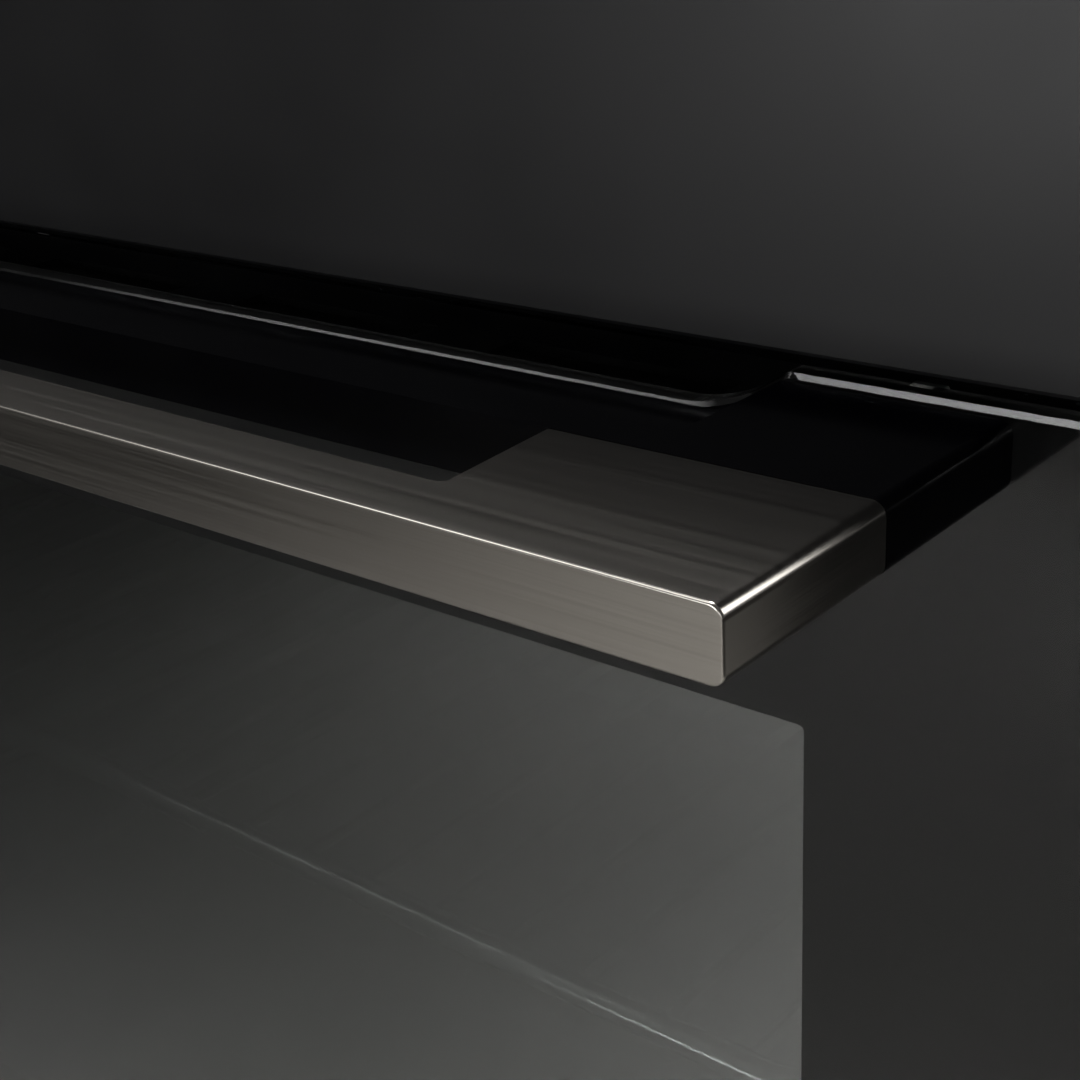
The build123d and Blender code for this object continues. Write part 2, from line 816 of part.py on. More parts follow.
def housing_screws():
    """The screws that hold the back sheet and the motor cover's brim."""
    x, ring = housing_half - flange / 2, bulge_half + flange / 2
    screw_levels = (screw_margin, housing_height / 2, housing_height - screw_margin)
    places = [(side * x, y_rear, z) for side in (-1, 1) for z in screw_levels]
    for across_x, up in ((ring, 0), (-ring, 0), (0, ring), (0, -ring)):
        places.append((across_x, y_rear + sheet, z_cavity_mid + up))
    return group([bar(x, y, z, 3.2, 2.2, (0, 1, 0)) for x, y, z in places])


# Cavity, lagging and seal
def cavity_outline(grow=0.0):
    """The cavity's round-cornered front-view outline, grown by an amount on every side."""
    width, height = cavity_width + 2 * grow, cavity_height + 2 * grow
    return Pos(0, z_cavity_mid) * chorded(width, height, cavity_corner + grow)


def ring_corner():
    """Where the line of the ring heater's right-hand end meets its leg, in front view."""
    reach = math.asin(ring_end / ring_radius)
    run = leg_bend + 2.0
    x = ring_end - run * math.cos(reach)
    return x, z_cavity_mid - ring_radius * math.cos(reach) - run * math.sin(reach)


def leg_opening(x_leg, z, grow):
    """A front-view rectangle round a pair of element legs."""
    half, tall = x_leg + leg_room + heater_tube + grow, leg_room + heater_tube + grow
    return framed(-half, half, z - tall, z + tall)


def rear_openings(grow, y_from, y_to):
    """What must pass the cavity's back: fan shaft, element legs and probe."""
    x_ring, z_ring = ring_corner()
    cut = rod(0, y_from, z_cavity_mid, shaft_radius + shaft_room + grow, y_to - y_from, (0, 1, 0))
    cut += facing(leg_opening(x_ring, z_ring, grow), y_from, y_to)
    cut += facing(leg_opening(grill_leg, z_grill, grow), y_from, y_to)
    return cut + bar(probe_x, y_from, z_grill, probe_radius + clear + grow, y_to - y_from, (0, 1, 0))


def cavity():
    """The enamelled muffle: a rounded tube with a back wall, a front brim and the lamp opening."""
    y0 = y_frame_back
    muffle = facing(cavity_outline(sheet), y0, y_cavity_back + sheet)
    muffle += facing(cavity_outline(flange), y0, y0 + sheet)
    muffle -= facing(cavity_outline(), y0 - 1, y_cavity_back)
    muffle -= rear_openings(0, y_cavity_back - 1, y_cavity_back + sheet + 1)
    lamp = Pos(lamp_x, y_lamp) * Rectangle(lamp_width, lamp_length)
    return muffle - upward(lamp, z_cavity_top - 1, z_cavity_top + sheet + 1)


def insulation():
    """The glass-fibre lagging round the muffle, open at the front."""
    y0 = y_frame_back + sheet + clear
    grow = sheet + lagging
    width, height = cavity_width + 2 * grow, cavity_height + 2 * grow
    jacket = facing(Pos(0, z_cavity_mid) * clipped(width, height, lagging_clip), y0, y_lagging_back)
    inside = clipped(cavity_width + 2 * sheet + clear, cavity_height + 2 * sheet + clear, cavity_corner / 2)
    jacket -= facing(Pos(0, z_cavity_mid) * inside, y0 - 1, y_cavity_back + sheet + clear)
    jacket -= rear_openings(1.0, y_cavity_back, y_lagging_back + 1)
    lamp = Pos(lamp_x, y_lamp) * Rectangle(lamp_width + 2, lamp_length + 2)
    jacket -= upward(lamp, z_cavity_top, z_lagging_top + 1)
    pocket = block(
        -base_loop - grill_bend,
        base_loop + grill_bend,
        y_face + 2 * cavity_lift / 3,
        y_cavity_back,
        z_base_heater - 2 * heater_tube,
        cavity_lift,
    )
    legs = block(
        -base_leg - leg_room - heater_tube,
        base_leg + leg_room + heater_tube,
        y_cavity_back - 1,
        y_lagging_back + 1,
        z_base_heater - 2 * heater_tube,
        cavity_lift,
    )
    return jacket - pocket - legs


def door_gasket():
    """The heat-proof seal round the cavity mouth, with bevelled front edges."""
    ring = cavity_outline(seal_inset + seal_width) - cavity_outline(seal_inset)
    seal = facing(ring, y_door_back + seal_squeeze, y_face)
    return chamfer(seal.faces().sort_by(Axis.Y)[0].edges(), seal_bevel)


# Heat
def fan_baffle():
    """The pan over the fan: radial intake slots in the middle and outlet slots round its rim."""
    size = 2 * baffle_half
    pan = facing(Pos(0, z_cavity_mid) * clipped(size, size, baffle_clip), y_chamber, y_cavity_back)
    pan = chamfer(pan.faces().sort_by(Axis.Y)[0].edges(), baffle_bevel)
    hollow = Pos(0, z_cavity_mid) * clipped(size - 2 * sheet, size - 2 * sheet, baffle_clip)
    hollow = facing(hollow, y_chamber + sheet, y_cavity_back + 1)
    pan -= chamfer(hollow.faces().sort_by(Axis.Y)[0].edges(), baffle_bevel)
    slot = Rectangle(intake_radius * 0.8, intake_radius * 0.18)
    intake = Sketch() + [place * slot for place in PolarLocations(intake_radius, intake_count)]
    pan -= facing(Pos(0, z_cavity_mid) * intake, y_chamber - 1, y_chamber + 3 * sheet)
    y_mid = (y_chamber + y_cavity_back) / 2
    length, width = baffle_half / 2, fan_chamber / 4
    for offset in (-baffle_half * 0.4, baffle_half * 0.4):
        upright = Plane.XY.offset(z_cavity_mid) * Pos(offset, y_mid) * Rectangle(length, width)
        pan -= extrude(upright, baffle_half + 1, both=True)
        level = Plane.YZ * Pos(y_mid, z_cavity_mid + offset) * Rectangle(width, length)
        pan -= extrude(level, baffle_half + 1, both=True)
    return pan


def fan_impeller():
    """The hot-air fan: a disc with leaning blades folded from it, on a hub and a steel shaft."""
    y_disc = y_cavity_back - fan_back
    blade = leaning_blade(fan_radius * 0.5, fan_radius * 0.93, 0.3, blade_sheet)
    blades = Sketch() + [Rot(0, 0, i * 360 / fan_blade_count) * blade for i in range(fan_blade_count)]
    here = Pos(0, z_cavity_mid)
    wheel = facing(here * RegularPolygon(fan_radius, fan_blade_count), y_disc, y_disc + blade_sheet)
    wheel += facing(here * blades, y_disc - blade_depth, y_disc)
    wheel += facing(here * RegularPolygon(hub_radius, 8), y_disc - blade_depth / 2, y_disc)
    shaft = facing(here * Circle(shaft_radius), y_disc - blade_depth, y_lagging_back + motor_depth)
    return wheel + shaft


def fan_motor():
    """The fan motor on its bracket plate, with a lamination stack, a bearing cover and a bore."""
    y0 = y_lagging_back + clear
    y1 = y_lagging_back + motor_standoff
    y_stack = y1 + motor_depth / 4
    here = Pos(0, z_cavity_mid)
    motor = facing(here * clipped(motor_width * 1.7, motor_height * 1.6, 8.0), y0, y0 + 2 * sheet)
    motor += facing(here * RegularPolygon(motor_width * 0.35, 8), y0, y1 + motor_depth - 4)
    motor += facing(here * clipped(motor_width, motor_height, 5.0), y_stack, y_stack + motor_depth / 2)
    motor += facing(here * RegularPolygon(2.5 * shaft_radius, 6), y1, y1 + motor_depth)
    x, z = motor_width * 0.41, motor_height * 0.39
    for post_x in (-x, x):
        for post_z in (z_cavity_mid - z, z_cavity_mid + z):
            motor += block(post_x - 3, post_x + 3, y0, y_stack, post_z - 3, post_z + 3)
    return motor - facing(here * Circle(shaft_radius + running_clearance), y0 - 1, y_end)


def ring_heater():
    """The ring element round the fan, its two ends turned back through a plate on the rear wall."""
    y_ring = y_cavity_back - ring_back
    x_leg, z_leg = ring_corner()
    reach = math.asin(ring_end / ring_radius)
    sweep_turn = 2 * math.pi - 2 * reach
    ring = []
    for step in range(ring_chord_count + 1):
        turn = reach - math.pi / 2 + sweep_turn * step / ring_chord_count
        ring.append((ring_radius * math.cos(turn), y_ring, z_cavity_mid + ring_radius * math.sin(turn)))
    right = bent([(x_leg, y_leg, z_leg), (x_leg, y_ring, z_leg), ring[0]], leg_bend)
    left = bent([ring[-1], (-x_leg, y_ring, z_leg), (-x_leg, y_leg, z_leg)], leg_bend)
    element = wire([*right[:-1], *ring, *left[1:]], heater_tube, (1, 0, 0))
    return element + facing(leg_opening(x_leg, z_leg, plate_rim), y_cavity_back - plate_sheet, y_cavity_back)


def grill_heater():
    """The grill element: one tube laid in loops under the ceiling, its ends through a rear plate."""
    y_front, y_back = y_face + 70.0, y_chamber - 35.0
    half = [
        (grill_leg, y_leg),
        (grill_leg, y_back),
        (grill_half, y_back),
        (grill_half, y_front),
        (grill_inner, y_front),
        (grill_inner, y_back - 2 * grill_inner),
    ]
    points = half + [(-x, y) for x, y in reversed(half)]
    element = wire(bent([(x, y, z_grill) for x, y in points], grill_bend), heater_tube, (0, 0, 1))
    plate = leg_opening(grill_leg, z_grill, plate_rim)
    return element + facing(plate, y_cavity_back - plate_sheet, y_cavity_back)


def base_heater():
    """The bottom element: one wide loop pressed up against the underside of the muffle."""
    y_front, y_back = y_face + cavity_lift, y_chamber - 20.0
    half = [(base_leg, y_leg), (base_leg, y_back), (base_loop, y_back), (base_loop, y_front)]
    points = half + [(-x, y) for x, y in reversed(half)]
    return wire(bent([(x, y, z_base_heater) for x, y in points], grill_bend), heater_tube, (0, 0, 1))


def oven_probe():
    """The temperature probe: a steel sheath through the back wall with a collar against it."""
    y_tip = y_cavity_back - probe_reach
    sheath = bar(probe_x, y_tip, z_grill, probe_radius, y_leg - y_tip, (0, 1, 0))
    return sheath + bar(probe_x, y_cavity_back - 3.0, z_grill, 2 * probe_radius, 3.0, (0, 1, 0))


def lamp_holder():
    """The lamp cup let into the ceiling, with a brim inside the cavity."""
    here = Pos(lamp_x, y_lamp)
    width, length = lamp_width - 2 * clear, lamp_length - 2 * clear
    cup = upward(here * Rectangle(width, length), z_cavity_top, z_lagging_top)
    brim = Rectangle(lamp_width + 2 * lamp_brim, lamp_length + 2 * lamp_brim)
    cup += upward(here * brim, z_cavity_top - lamp_wall, z_cavity_top)
    hollow = Rectangle(width - 2 * lamp_wall, length - 2 * lamp_wall)
    return cup - upward(here * hollow, z_cavity_top - 2 * lamp_wall, z_lagging_top - lamp_wall)


def lamp_glass():
    """The bevelled glass cap over the lamp, seated against the holder's brim."""
    here, z = Pos(lamp_x, y_lamp), z_cavity_top - lamp_wall
    cap = upward(here * Rectangle(lamp_width, lamp_length), z - lamp_depth, z)
    cap = chamfer(cap.faces().sort_by(Axis.Z)[0].edges(), lamp_depth / 2)
    hollow = Rectangle(lamp_width - 2 * lamp_brim, lamp_length - 2 * lamp_brim)
    hollow = upward(here * hollow, z - lamp_depth + 2 * lamp_wall, z)
    return cap - chamfer(hollow.faces().sort_by(Axis.Z)[0].edges(), lamp_depth / 4)


def lamp_bulb():
    """The capsule bulb and its socket, hanging from the top of the cup."""
    z = z_lagging_top - lamp_wall
    here = Pos(lamp_x, y_lamp)
    socket = upward(here * RegularPolygon(bulb_radius * 1.5, 8), z - bulb_radius, z)
    return socket + upward(here * RegularPolygon(bulb_radius, 8), z - 3 * bulb_radius, z)


# Racks, runners and what slides
def rack_right():
    """The right-hand rack: a bent wire frame with a pair of welded wires at every level."""
    y_mid = (y_rack_front + y_rack_back) / 2
    corners = [
        (x_rack, y_mid, z_rack_low),
        (x_rack, y_rack_front, z_rack_low),
        (x_rack, y_rack_front, z_rack_high),
        (x_rack, y_mid, z_rack_high),
    ]
    half = wire(bent(corners, rack_bend), rack_wire, (1, 0, 0), 30.0)
    rack = half + mirror(half, about=Plane.XZ.offset(-y_mid))
    start = y_rack_front - level_overhang
    length = y_rack_back - y_rack_front + 2 * level_overhang
    for index in range(level_count):
        for z in (level_z(index), level_z(index) + guide_rise):
            rack += bar(x_level, start, z, level_wire, length, (0, 1, 0), 30.0)
    return rack


def rack_studs():
    """Four headed studs on the side walls, two under the top wire of each rack."""
    x_head = x_rack - rack_wire - clear
    z = z_rack_high - rack_tip - clear - stud_size
    studs = []
    for y in (y_rack_front + stud_inset, y_rack_back - stud_inset):
        stud = block(x_head, cavity_half, y - stud_size, y + stud_size, z - stud_size, z + stud_size)
        studs.append(stud + bar(x_head, y, z, stud_head, stud_head_thickness, (-1, 0, 0)))
    return group([both_sides(stud) for stud in studs])


def runner_section(step):
    """A rail's channel section, nested inside the one before it by the sheet and the play."""
    inset = step * runner_nest
    x_in, x_out = x_runner - runner_depth, x_runner - inset
    z_low, z_high = z_runner + inset, z_runner + runner_height - inset
    return folded([(x_in, z_low), (x_out, z_low), (x_out, z_high), (x_in, z_high)], runner_sheet)


def runner_fixed():
    """The two outer rails, lying against the wires of one level."""
    return both_sides(facing(runner_section(0), y_runner, y_runner + runner_length))


def runner_middle():
    """The two middle rails of the telescopic runners."""
    return both_sides(facing(runner_section(1), y_runner + 1, y_runner + runner_length))


def runner_inner():
    """The two inner rails, each with a ledge and end stops for the shelf's side wire."""
    inset = 2 * runner_nest
    x_in, x_out = x_inner_rail, x_runner - inset
    z_low, z_high = z_runner + inset, z_runner + runner_height - inset
    ledge = folded([(x_in, z_high), (x_in, z_low), (x_in - ledge_width, z_low)], -runner_sheet)
    y0, y1 = y_runner + 2, y_runner + runner_length
    rail = facing(framed(x_in, x_out, z_low, z_high), y0, y1) + facing(ledge, y0, y1)
    stop = framed(x_in - ledge_width, x_in, z_low, z_low + stop_height)
    for y in (y0, y1 - stop_thickness):
        rail += facing(stop, y, y + stop_thickness)
    return both_sides(rail)


def wire_shelf():
    """The chromed shelf: a bent frame wire, a row of bars between and one wire across under them."""
    y0 = y_runner + 2 + stop_thickness + shelf_wire + clear
    y1 = y_runner + runner_length - stop_thickness - shelf_wire - clear
    corners = [(0, y0, z_shelf), (x_shelf, y0, z_shelf), (x_shelf, y1, z_shelf), (0, y1, z_shelf)]
    half = wire(bent(corners, shelf_bend), shelf_wire, (0, 0, 1))
    shelf = half + mirror(half, about=Plane.YZ)
    pitch = 2 * x_shelf / (bar_count + 1)
    length = y1 - y0 - 2 * shelf_wire
    for index in range(bar_count):
        x = (index + 1) * pitch - x_shelf
        shelf += bar(x, y0 + shelf_wire, z_shelf, bar_wire, length, (0, 1, 0))
    reach = x_shelf - pitch + 3 * bar_wire
    return shelf + bar(-reach, (y0 + y1) / 2, z_shelf - 2 * bar_wire, bar_wire, 2 * reach, (1, 0, 0))


def bowl(grow, z_floor):
    """The tray's tapering bowl from the top of its rim down to a floor, grown on every side."""
    width, length = 2 * (tray_half + grow), tray_length - tray_rim + 2 * grow
    z_top = z_rim + tray_wall
    outline = Plane.XY.offset(z_top) * Pos(0, y_tray_mid) * chorded(width, length, tray_corner + grow)
    return extrude(outline, z_floor - z_top, taper=tray_draft)


def baking_tray():
    """The enamelled tray: a tapered, round-cornered bowl with a flat rim that rides on the rack."""
    z_floor = z_rim - tray_depth
    rim = chorded(2 * rim_half, tray_length + tray_rim, tray_corner)
    tray = bowl(0, z_floor) + upward(Pos(0, y_tray_mid) * rim, z_rim, z_rim + tray_wall)
    return tray - bowl(-tray_wall, z_floor + tray_wall)


# Cooling air and electrics above the cavity
def channel_plate():
    """The sheet between the lagged cavity and the electrics, turned up along the side panels."""
    x, z = housing_half - sheet, z_channel
    section = folded([(-x, z + flange), (-x, z), (x, z), (x, z + flange)], sheet)
    return facing(section, y_frame_back + sheet, y_rear - 2 * sheet)


def scroll_outline(grow=0.0):
    """The blower's spiral in short straight runs, from its mouth round to the tongue beside it."""
    x_right = blower_x + scroll_radius + grow
    x_tongue = x_right - outlet_width - 2 * grow
    points = [(x_tongue, y_blower_mouth), (x_right, y_blower_mouth)]
    for step in range(scroll_run_count + 1):
        turn = 1.5 * math.pi * step / scroll_run_count
        radius = scroll_radius + grow - scroll_shrink * step / scroll_run_count
        points.append((blower_x + radius * math.cos(turn), blower_y + radius * math.sin(turn)))
    return area(*points, (x_tongue, points[-1][1]))


def blower_housing():
    """The spiral casing with an intake on top and a mouth towards the front."""
    case = upward(scroll_outline(), z_plate, z_blower_top)
    room = upward(scroll_outline(-sheet), z_plate + sheet, z_blower_top - sheet)
    mouth = block(
        blower_x + scroll_radius - outlet_width + sheet,
        blower_x + scroll_radius - sheet,
        y_blower_mouth - 1,
        y_blower_mouth + 2 * sheet,
        z_plate + sheet,
        z_blower_top - sheet,
    )
    intake = Pos(blower_x, blower_y) * RegularPolygon(blower_radius * 0.8, intake_side_count)
    return case - room - mouth - upward(intake, z_blower_top - 2 * sheet, z_blower_top + 1)


def blower_impeller():
    """The drum fan: leaning blades between a disc and a ring, on a hub and shaft."""
    z0, z1 = z_plate + 3 * sheet, z_blower_top - 3 * sheet
    here = Pos(blower_x, blower_y)
    inner, outer = blower_radius - drum_width, blower_radius
    blade = leaning_blade(inner * 1.06, outer * 0.95, 0.2, sheet)
    blades = Sketch() + [Rot(0, 0, i * 360 / blower_blade_count) * blade for i in range(blower_blade_count)]
    disc = RegularPolygon(outer, blower_blade_count)
    drum = upward(here * disc, z0, z0 + sheet)
    drum += upward(here * (disc - RegularPolygon(inner, blower_blade_count)), z1 - sheet, z1)
    drum += upward(here * blades, z0 + sheet, z1 - sheet)
    drum += upward(here * RegularPolygon(3 * blower_shaft, 8), z0, z0 + blower_height / 3)
    return drum + upward(here * Circle(blower_shaft), z0, z_blower_top + blower_height * 0.85)


def blower_motor():
    """The blower's motor on three arms that stand round the intake."""
    here = Pos(blower_x, blower_y)
    z0, tall = z_blower_top, blower_height
    motor = upward(here * clipped(58.0, 48.0, 5.0), z0 + 0.3 * tall, z0 + 0.75 * tall)
    motor += upward(here * RegularPolygon(21.0, 8), z0 + 0.15 * tall, z0 + 0.9 * tall)
    for turn in (90, 210, 330):
        here_turned = here * Rot(0, 0, turn)
        motor += upward(here_turned * Pos(33.0, 0) * Rectangle(42.0, 9.0), z0 + 0.18 * tall, z0 + 0.3 * tall)
        motor += upward(here_turned * Pos(48.0, 0) * Rectangle(12.0, 9.0), z0, z0 + 0.3 * tall)
    return motor - upward(here * Circle(blower_shaft + running_clearance), z0 - 1, z0 + tall)


def air_duct():
    """The hood that spreads the blower's air to the front: wide and flat where it meets the outlets."""
    x_mid = blower_x + scroll_radius - outlet_width / 2
    y_front, y_back = y_frame_back + flange + 1, y_blower_mouth
    z_front = z_frame_top - frame_sheet - 1

    def form(inset, z_low, past):
        wide, narrow = duct_half - inset, outlet_width / 2 - inset
        y0, y1 = y_front - past, y_back + past
        plan = area((-wide, y0), (wide, y0), (x_mid + narrow, y1), (x_mid - narrow, y1))
        side = area((y0, z_low), (y1, z_low), (y1, z_blower_top - inset), (y0, z_front - inset))
        return upward(plan, z_low, z_blower_top) & across(side, -duct_half, duct_half)

    return form(0, z_plate, 0) - form(sheet, z_plate - 1, 1)


def power_board():
    """The power board on its posts, with a transformer, relays, a capacitor and a connector."""
    x0, y0, z0 = power_x, power_y, z_plate + post_height
    x1, y1, top = x0 + power_width, y0 + power_length, z0 + board_sheet
    board = block(x0, x1, y0, y1, z0, top)
    for x in (x0 + 8, x1 - 8):
        for y in (y0 + 8, y1 - 8):
            board += block(x - 3, x + 3, y - 3, y + 3, z_plate, z0)
    board += block(x0 + 12, x0 + 56, y0 + 14, y0 + 52, top, top + 34)
    for index in range(4):
        y = y0 + 66 + index * 20.0
        board += block(x0 + 14, x0 + 43, y, y + 13, top, top + 16)
    board += upward(Pos(x0 + 90, y0 + 40) * RegularPolygon(11.0, 8), top, top + 26)
    return board + block(x1 - 64, x1 - 8, y1 - 24, y1 - 12, top, top + 12)


def panel_glass():
    """The glass fascia above the door, with a ground bevel and rounded corners."""
    half = front_width / 2
    pane = facing(framed(-half, half, z_panel, z_panel_top, glass_corner), y_glass, y_glass_back)
    return chamfer(pane.faces().sort_by(Axis.Y)[0].edges(), glass_bevel)


def panel_carrier():
    """The moulded box behind the fascia, open to the rear, with a turned-in edge and a display window."""
    x, low, high = front_width / 2 - 2 * carrier_inset, z_panel + carrier_inset, z_panel_top - carrier_inset
    wall = carrier_wall
    box = facing(framed(-x, x, low, high), y_glass_back, y_frame_back)
    inside = framed(-x + wall, x - wall, low + wall, high - wall)
    box -= facing(inside, y_glass_back + wall, y_frame_back - wall)
    opening = framed(-housing_half + flange, housing_half - flange, low + 2 * carrier_inset, high - flange)
    box -= facing(opening, y_frame_back - wall - 1, y_frame_back + 1)
    tall = display_height / 2
    window = framed(-display_half, display_half, z_panel_mid - tall, z_panel_mid + tall)
    box -= facing(window, y_glass_back - 1, y_glass_back + wall + 1)
    y0, y1 = y_glass_back + wall, y_glass_back + 8 * wall
    for share in (-0.75, -0.5, 0.5, 0.75):
        box += block(share * x, share * x + wall, y0, y1, low + wall, high - wall)
    return box


def display_module():
    """The display in its frame, pressed against the fascia."""
    half, tall = display_half - clear, display_height / 2 - clear
    y0, y1 = y_glass_back + clear, y_glass_back + display_depth
    module = facing(framed(-half, half, z_panel_mid - tall, z_panel_mid + tall), y0, y1)
    half, tall = half - 2 * carrier_wall, tall - 2 * carrier_wall
    return module - facing(framed(-half, half, z_panel_mid - tall, z_panel_mid + tall), (y0 + y1) / 2, y1 + 1)


def control_board():
    """The control board on four posts behind the display, with its chips and a connector."""
    y0 = y_glass_back + display_depth
    y1 = y0 + board_sheet
    half, tall, z = display_half + 25, panel_height * 0.35, z_panel_mid
    board = facing(framed(-half, half, z - tall, z + tall), y0, y1)
    for x in (-half + 6, half - 6):
        for post_z in (z - tall + 6, z + tall - 6):
            board += block(x - 3, x + 3, y_glass_back + carrier_wall, y0, post_z - 3, post_z + 3)
    for x, width in ((-60.0, 16.0), (-20.0, 24.0), (30.0, 12.0)):
        board += block(x, x + width, y1, y1 + 2, z - 10, z + 6)
    return board + block(50, 90, y1, y1 + 10, z - tall + 4, z - tall + 14)


def terminal_box():
    """The box for the supply terminals on the back sheet, with its cable opening below."""
    x0, x1 = terminal_x - terminal_width / 2, terminal_x + terminal_width / 2
    z0, z1, wall = z_terminal, z_terminal + terminal_height, terminal_wall
    y_back = y_rear + motor_bulge - carrier_inset
    box = chamfer(block(x0, x1, y_rear, y_back, z0, z1).faces().sort_by(Axis.Y)[-1].edges(), wall)
    box -= block(x0 + wall, x1 - wall, y_rear - 1, y_back - wall, z0 + wall, z1 - wall)
    neck = RegularPolygon(gland_bore + gland_wall, 8)
    return box - upward(Pos(terminal_x, y_gland) * neck, z0 - 1, z0 + wall + 1)


def cable_clamp():
    """The six-sided cable gland below the terminal box, with its neck through the box's wall."""
    here, z = Pos(terminal_x, y_gland), z_terminal
    wide = gland_bore + gland_wall
    gland = upward(here * RegularPolygon(wide, 6), z + gland_neck - gland_length, z)
    gland += upward(here * RegularPolygon(wide + gland_wall, 6), z - gland_neck, z)
    gland += upward(here * RegularPolygon(wide - running_clearance, 8), z, z + gland_neck)
    return gland - upward(here * Circle(gland_bore), z - gland_length, z + gland_length)


# Every piece by its name
def pieces():
    """All the separate pieces."""
    side = side_panel_right()
    rack = rack_right()
    channel = door_side_right()
    return {
        "base_plate": base_plate(),
        "side_panel_left": mirror(side, about=Plane.YZ),
        "side_panel_right": side,
        "top_cover": top_cover(),
        "rear_cover": rear_cover(),
        "motor_cover": motor_cover(),
        "front_frame": front_frame(),
        "bottom_trim": bottom_trim(),
        "housing_screws": housing_screws(),
        "cavity": cavity(),
        "insulation": insulation(),
        "door_gasket": door_gasket(),
        "fan_baffle": fan_baffle(),
        "fan_impeller": fan_impeller(),
        "fan_motor": fan_motor(),
        "ring_heater": ring_heater(),
        "grill_heater": grill_heater(),
        "base_heater": base_heater(),
        "oven_probe": oven_probe(),
        "lamp_holder": lamp_holder(),
        "lamp_glass": lamp_glass(),
        "lamp_bulb": lamp_bulb(),
        "rack_left": mirror(rack, about=Plane.YZ),
        "rack_right": rack,
        "rack_studs": rack_studs(),
        "runner_fixed": runner_fixed(),
        "runner_middle": runner_middle(),
        "runner_inner": runner_inner(),
        "wire_shelf": wire_shelf(),
        "baking_tray": baking_tray(),
        "channel_plate": channel_plate(),
        "air_duct": air_duct(),
        "blower_housing": blower_housing(),
        "blower_impeller": blower_impeller(),
        "blower_motor": blower_motor(),
        "power_board": power_board(),
        "control_board": control_board(),
        "display_module": display_module(),
        "panel_glass": panel_glass(),
        "panel_carrier": panel_carrier(),
        "terminal_box": terminal_box(),
        "cable_clamp": cable_clamp(),
        "door_glass_outer": door_glass_outer(),
        "door_border_print": door_border_print(),
        "door_glass_middle": door_glass_middle(),
        "door_glass_inner": door_glass_inner(),
        "door_side_left": mirror(channel, about=Plane.YZ),
        "door_side_right": channel,
        "door_top_rail": door_top_rail(),
        "door_bottom_rail": door_bottom_rail(),
        "glass_supports": glass_supports(),
        "hinge_cases": hinge_cases(),
        "hinge_pins": hinge_pins(),
        "hinge_arms": hinge_arms(),
        "hinge_seats": hinge_seats(),
        "handle_bar": handle_bar(),
        "handle_base": handle_base(),
        "handle_screws": handle_screws(),
    }


os.makedirs("parts", exist_ok=True)
for name, shape in pieces().items():
    export_step(shape, "parts/" + name + ".step")
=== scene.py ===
import bpy
import bmesh
import json
import math
from mathutils import Matrix, Vector


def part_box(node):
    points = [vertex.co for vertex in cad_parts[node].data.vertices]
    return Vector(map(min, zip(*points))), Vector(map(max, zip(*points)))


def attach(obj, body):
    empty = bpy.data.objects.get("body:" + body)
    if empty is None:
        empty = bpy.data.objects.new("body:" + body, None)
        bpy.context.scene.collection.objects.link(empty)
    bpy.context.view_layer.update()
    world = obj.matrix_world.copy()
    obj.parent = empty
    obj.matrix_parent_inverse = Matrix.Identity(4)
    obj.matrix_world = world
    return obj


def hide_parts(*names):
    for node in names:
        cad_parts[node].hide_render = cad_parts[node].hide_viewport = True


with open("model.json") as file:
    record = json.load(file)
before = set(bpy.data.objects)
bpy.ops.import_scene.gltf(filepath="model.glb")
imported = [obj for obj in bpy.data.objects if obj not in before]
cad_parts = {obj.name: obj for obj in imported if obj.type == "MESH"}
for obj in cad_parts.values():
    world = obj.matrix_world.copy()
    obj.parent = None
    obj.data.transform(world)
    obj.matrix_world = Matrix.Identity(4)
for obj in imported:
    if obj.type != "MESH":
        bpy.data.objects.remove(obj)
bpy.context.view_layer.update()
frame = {"nodes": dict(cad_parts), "record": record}

MM = 0.001
NEAR = 0.1 * MM         # how close a corner counts as lying on a line or plane
TOUCHING = 0.01 * MM    # the same where two such planes lie close together
MERGE = 0.000002        # corners of loose facets closer than this are one
PAST = 0.01             # how far a cutting tool reaches past its piece

# Camera: close above the right end of the handle, looking left and down along the front
EYE_PAST_HANDLE = 73.2 * MM
EYE_BEFORE_GLASS = 161.1 * MM
EYE_ABOVE_HANDLE = 60.9 * MM
TURN, DOWN, TILT = -40.9, 22.73, -3.4
FOCAL_PIXELS, PICTURE_PIXELS = 1723.7, 1080
SENSOR = 36.0
NEAREST, FURTHEST = 0.01, 60.0


def set_camera():
    """The photograph's viewpoint, fitted to the straight edges of handle, fascia and window."""
    bar_low, bar_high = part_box("handle_bar")
    pane_low, pane_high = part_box("door_glass_outer")
    place = Vector((bar_high.x + EYE_PAST_HANDLE, pane_low.y - EYE_BEFORE_GLASS, bar_high.z + EYE_ABOVE_HANDLE))
    yaw, pitch, roll = math.radians(TURN), math.radians(DOWN), math.radians(TILT)
    ahead = Vector((math.sin(yaw) * math.cos(pitch), math.cos(yaw) * math.cos(pitch), -math.sin(pitch)))
    level = Vector((math.cos(yaw), -math.sin(yaw), 0))
    upright = level.cross(ahead)
    right = level * math.cos(roll) + upright * math.sin(roll)
    up = upright * math.cos(roll) - level * math.sin(roll)
    data = bpy.data.cameras.new("camera")
    data.sensor_width = SENSOR
    data.lens = FOCAL_PIXELS / PICTURE_PIXELS * SENSOR
    data.clip_start, data.clip_end = NEAREST, FURTHEST
    camera = bpy.data.objects.new("camera", data)
    bpy.context.scene.collection.objects.link(camera)
    camera.rotation_mode = "QUATERNION"
    camera.location = place
    camera.rotation_quaternion = Matrix((right, up, -ahead)).transposed().to_quaternion()
    bpy.context.scene.camera = camera


set_camera()


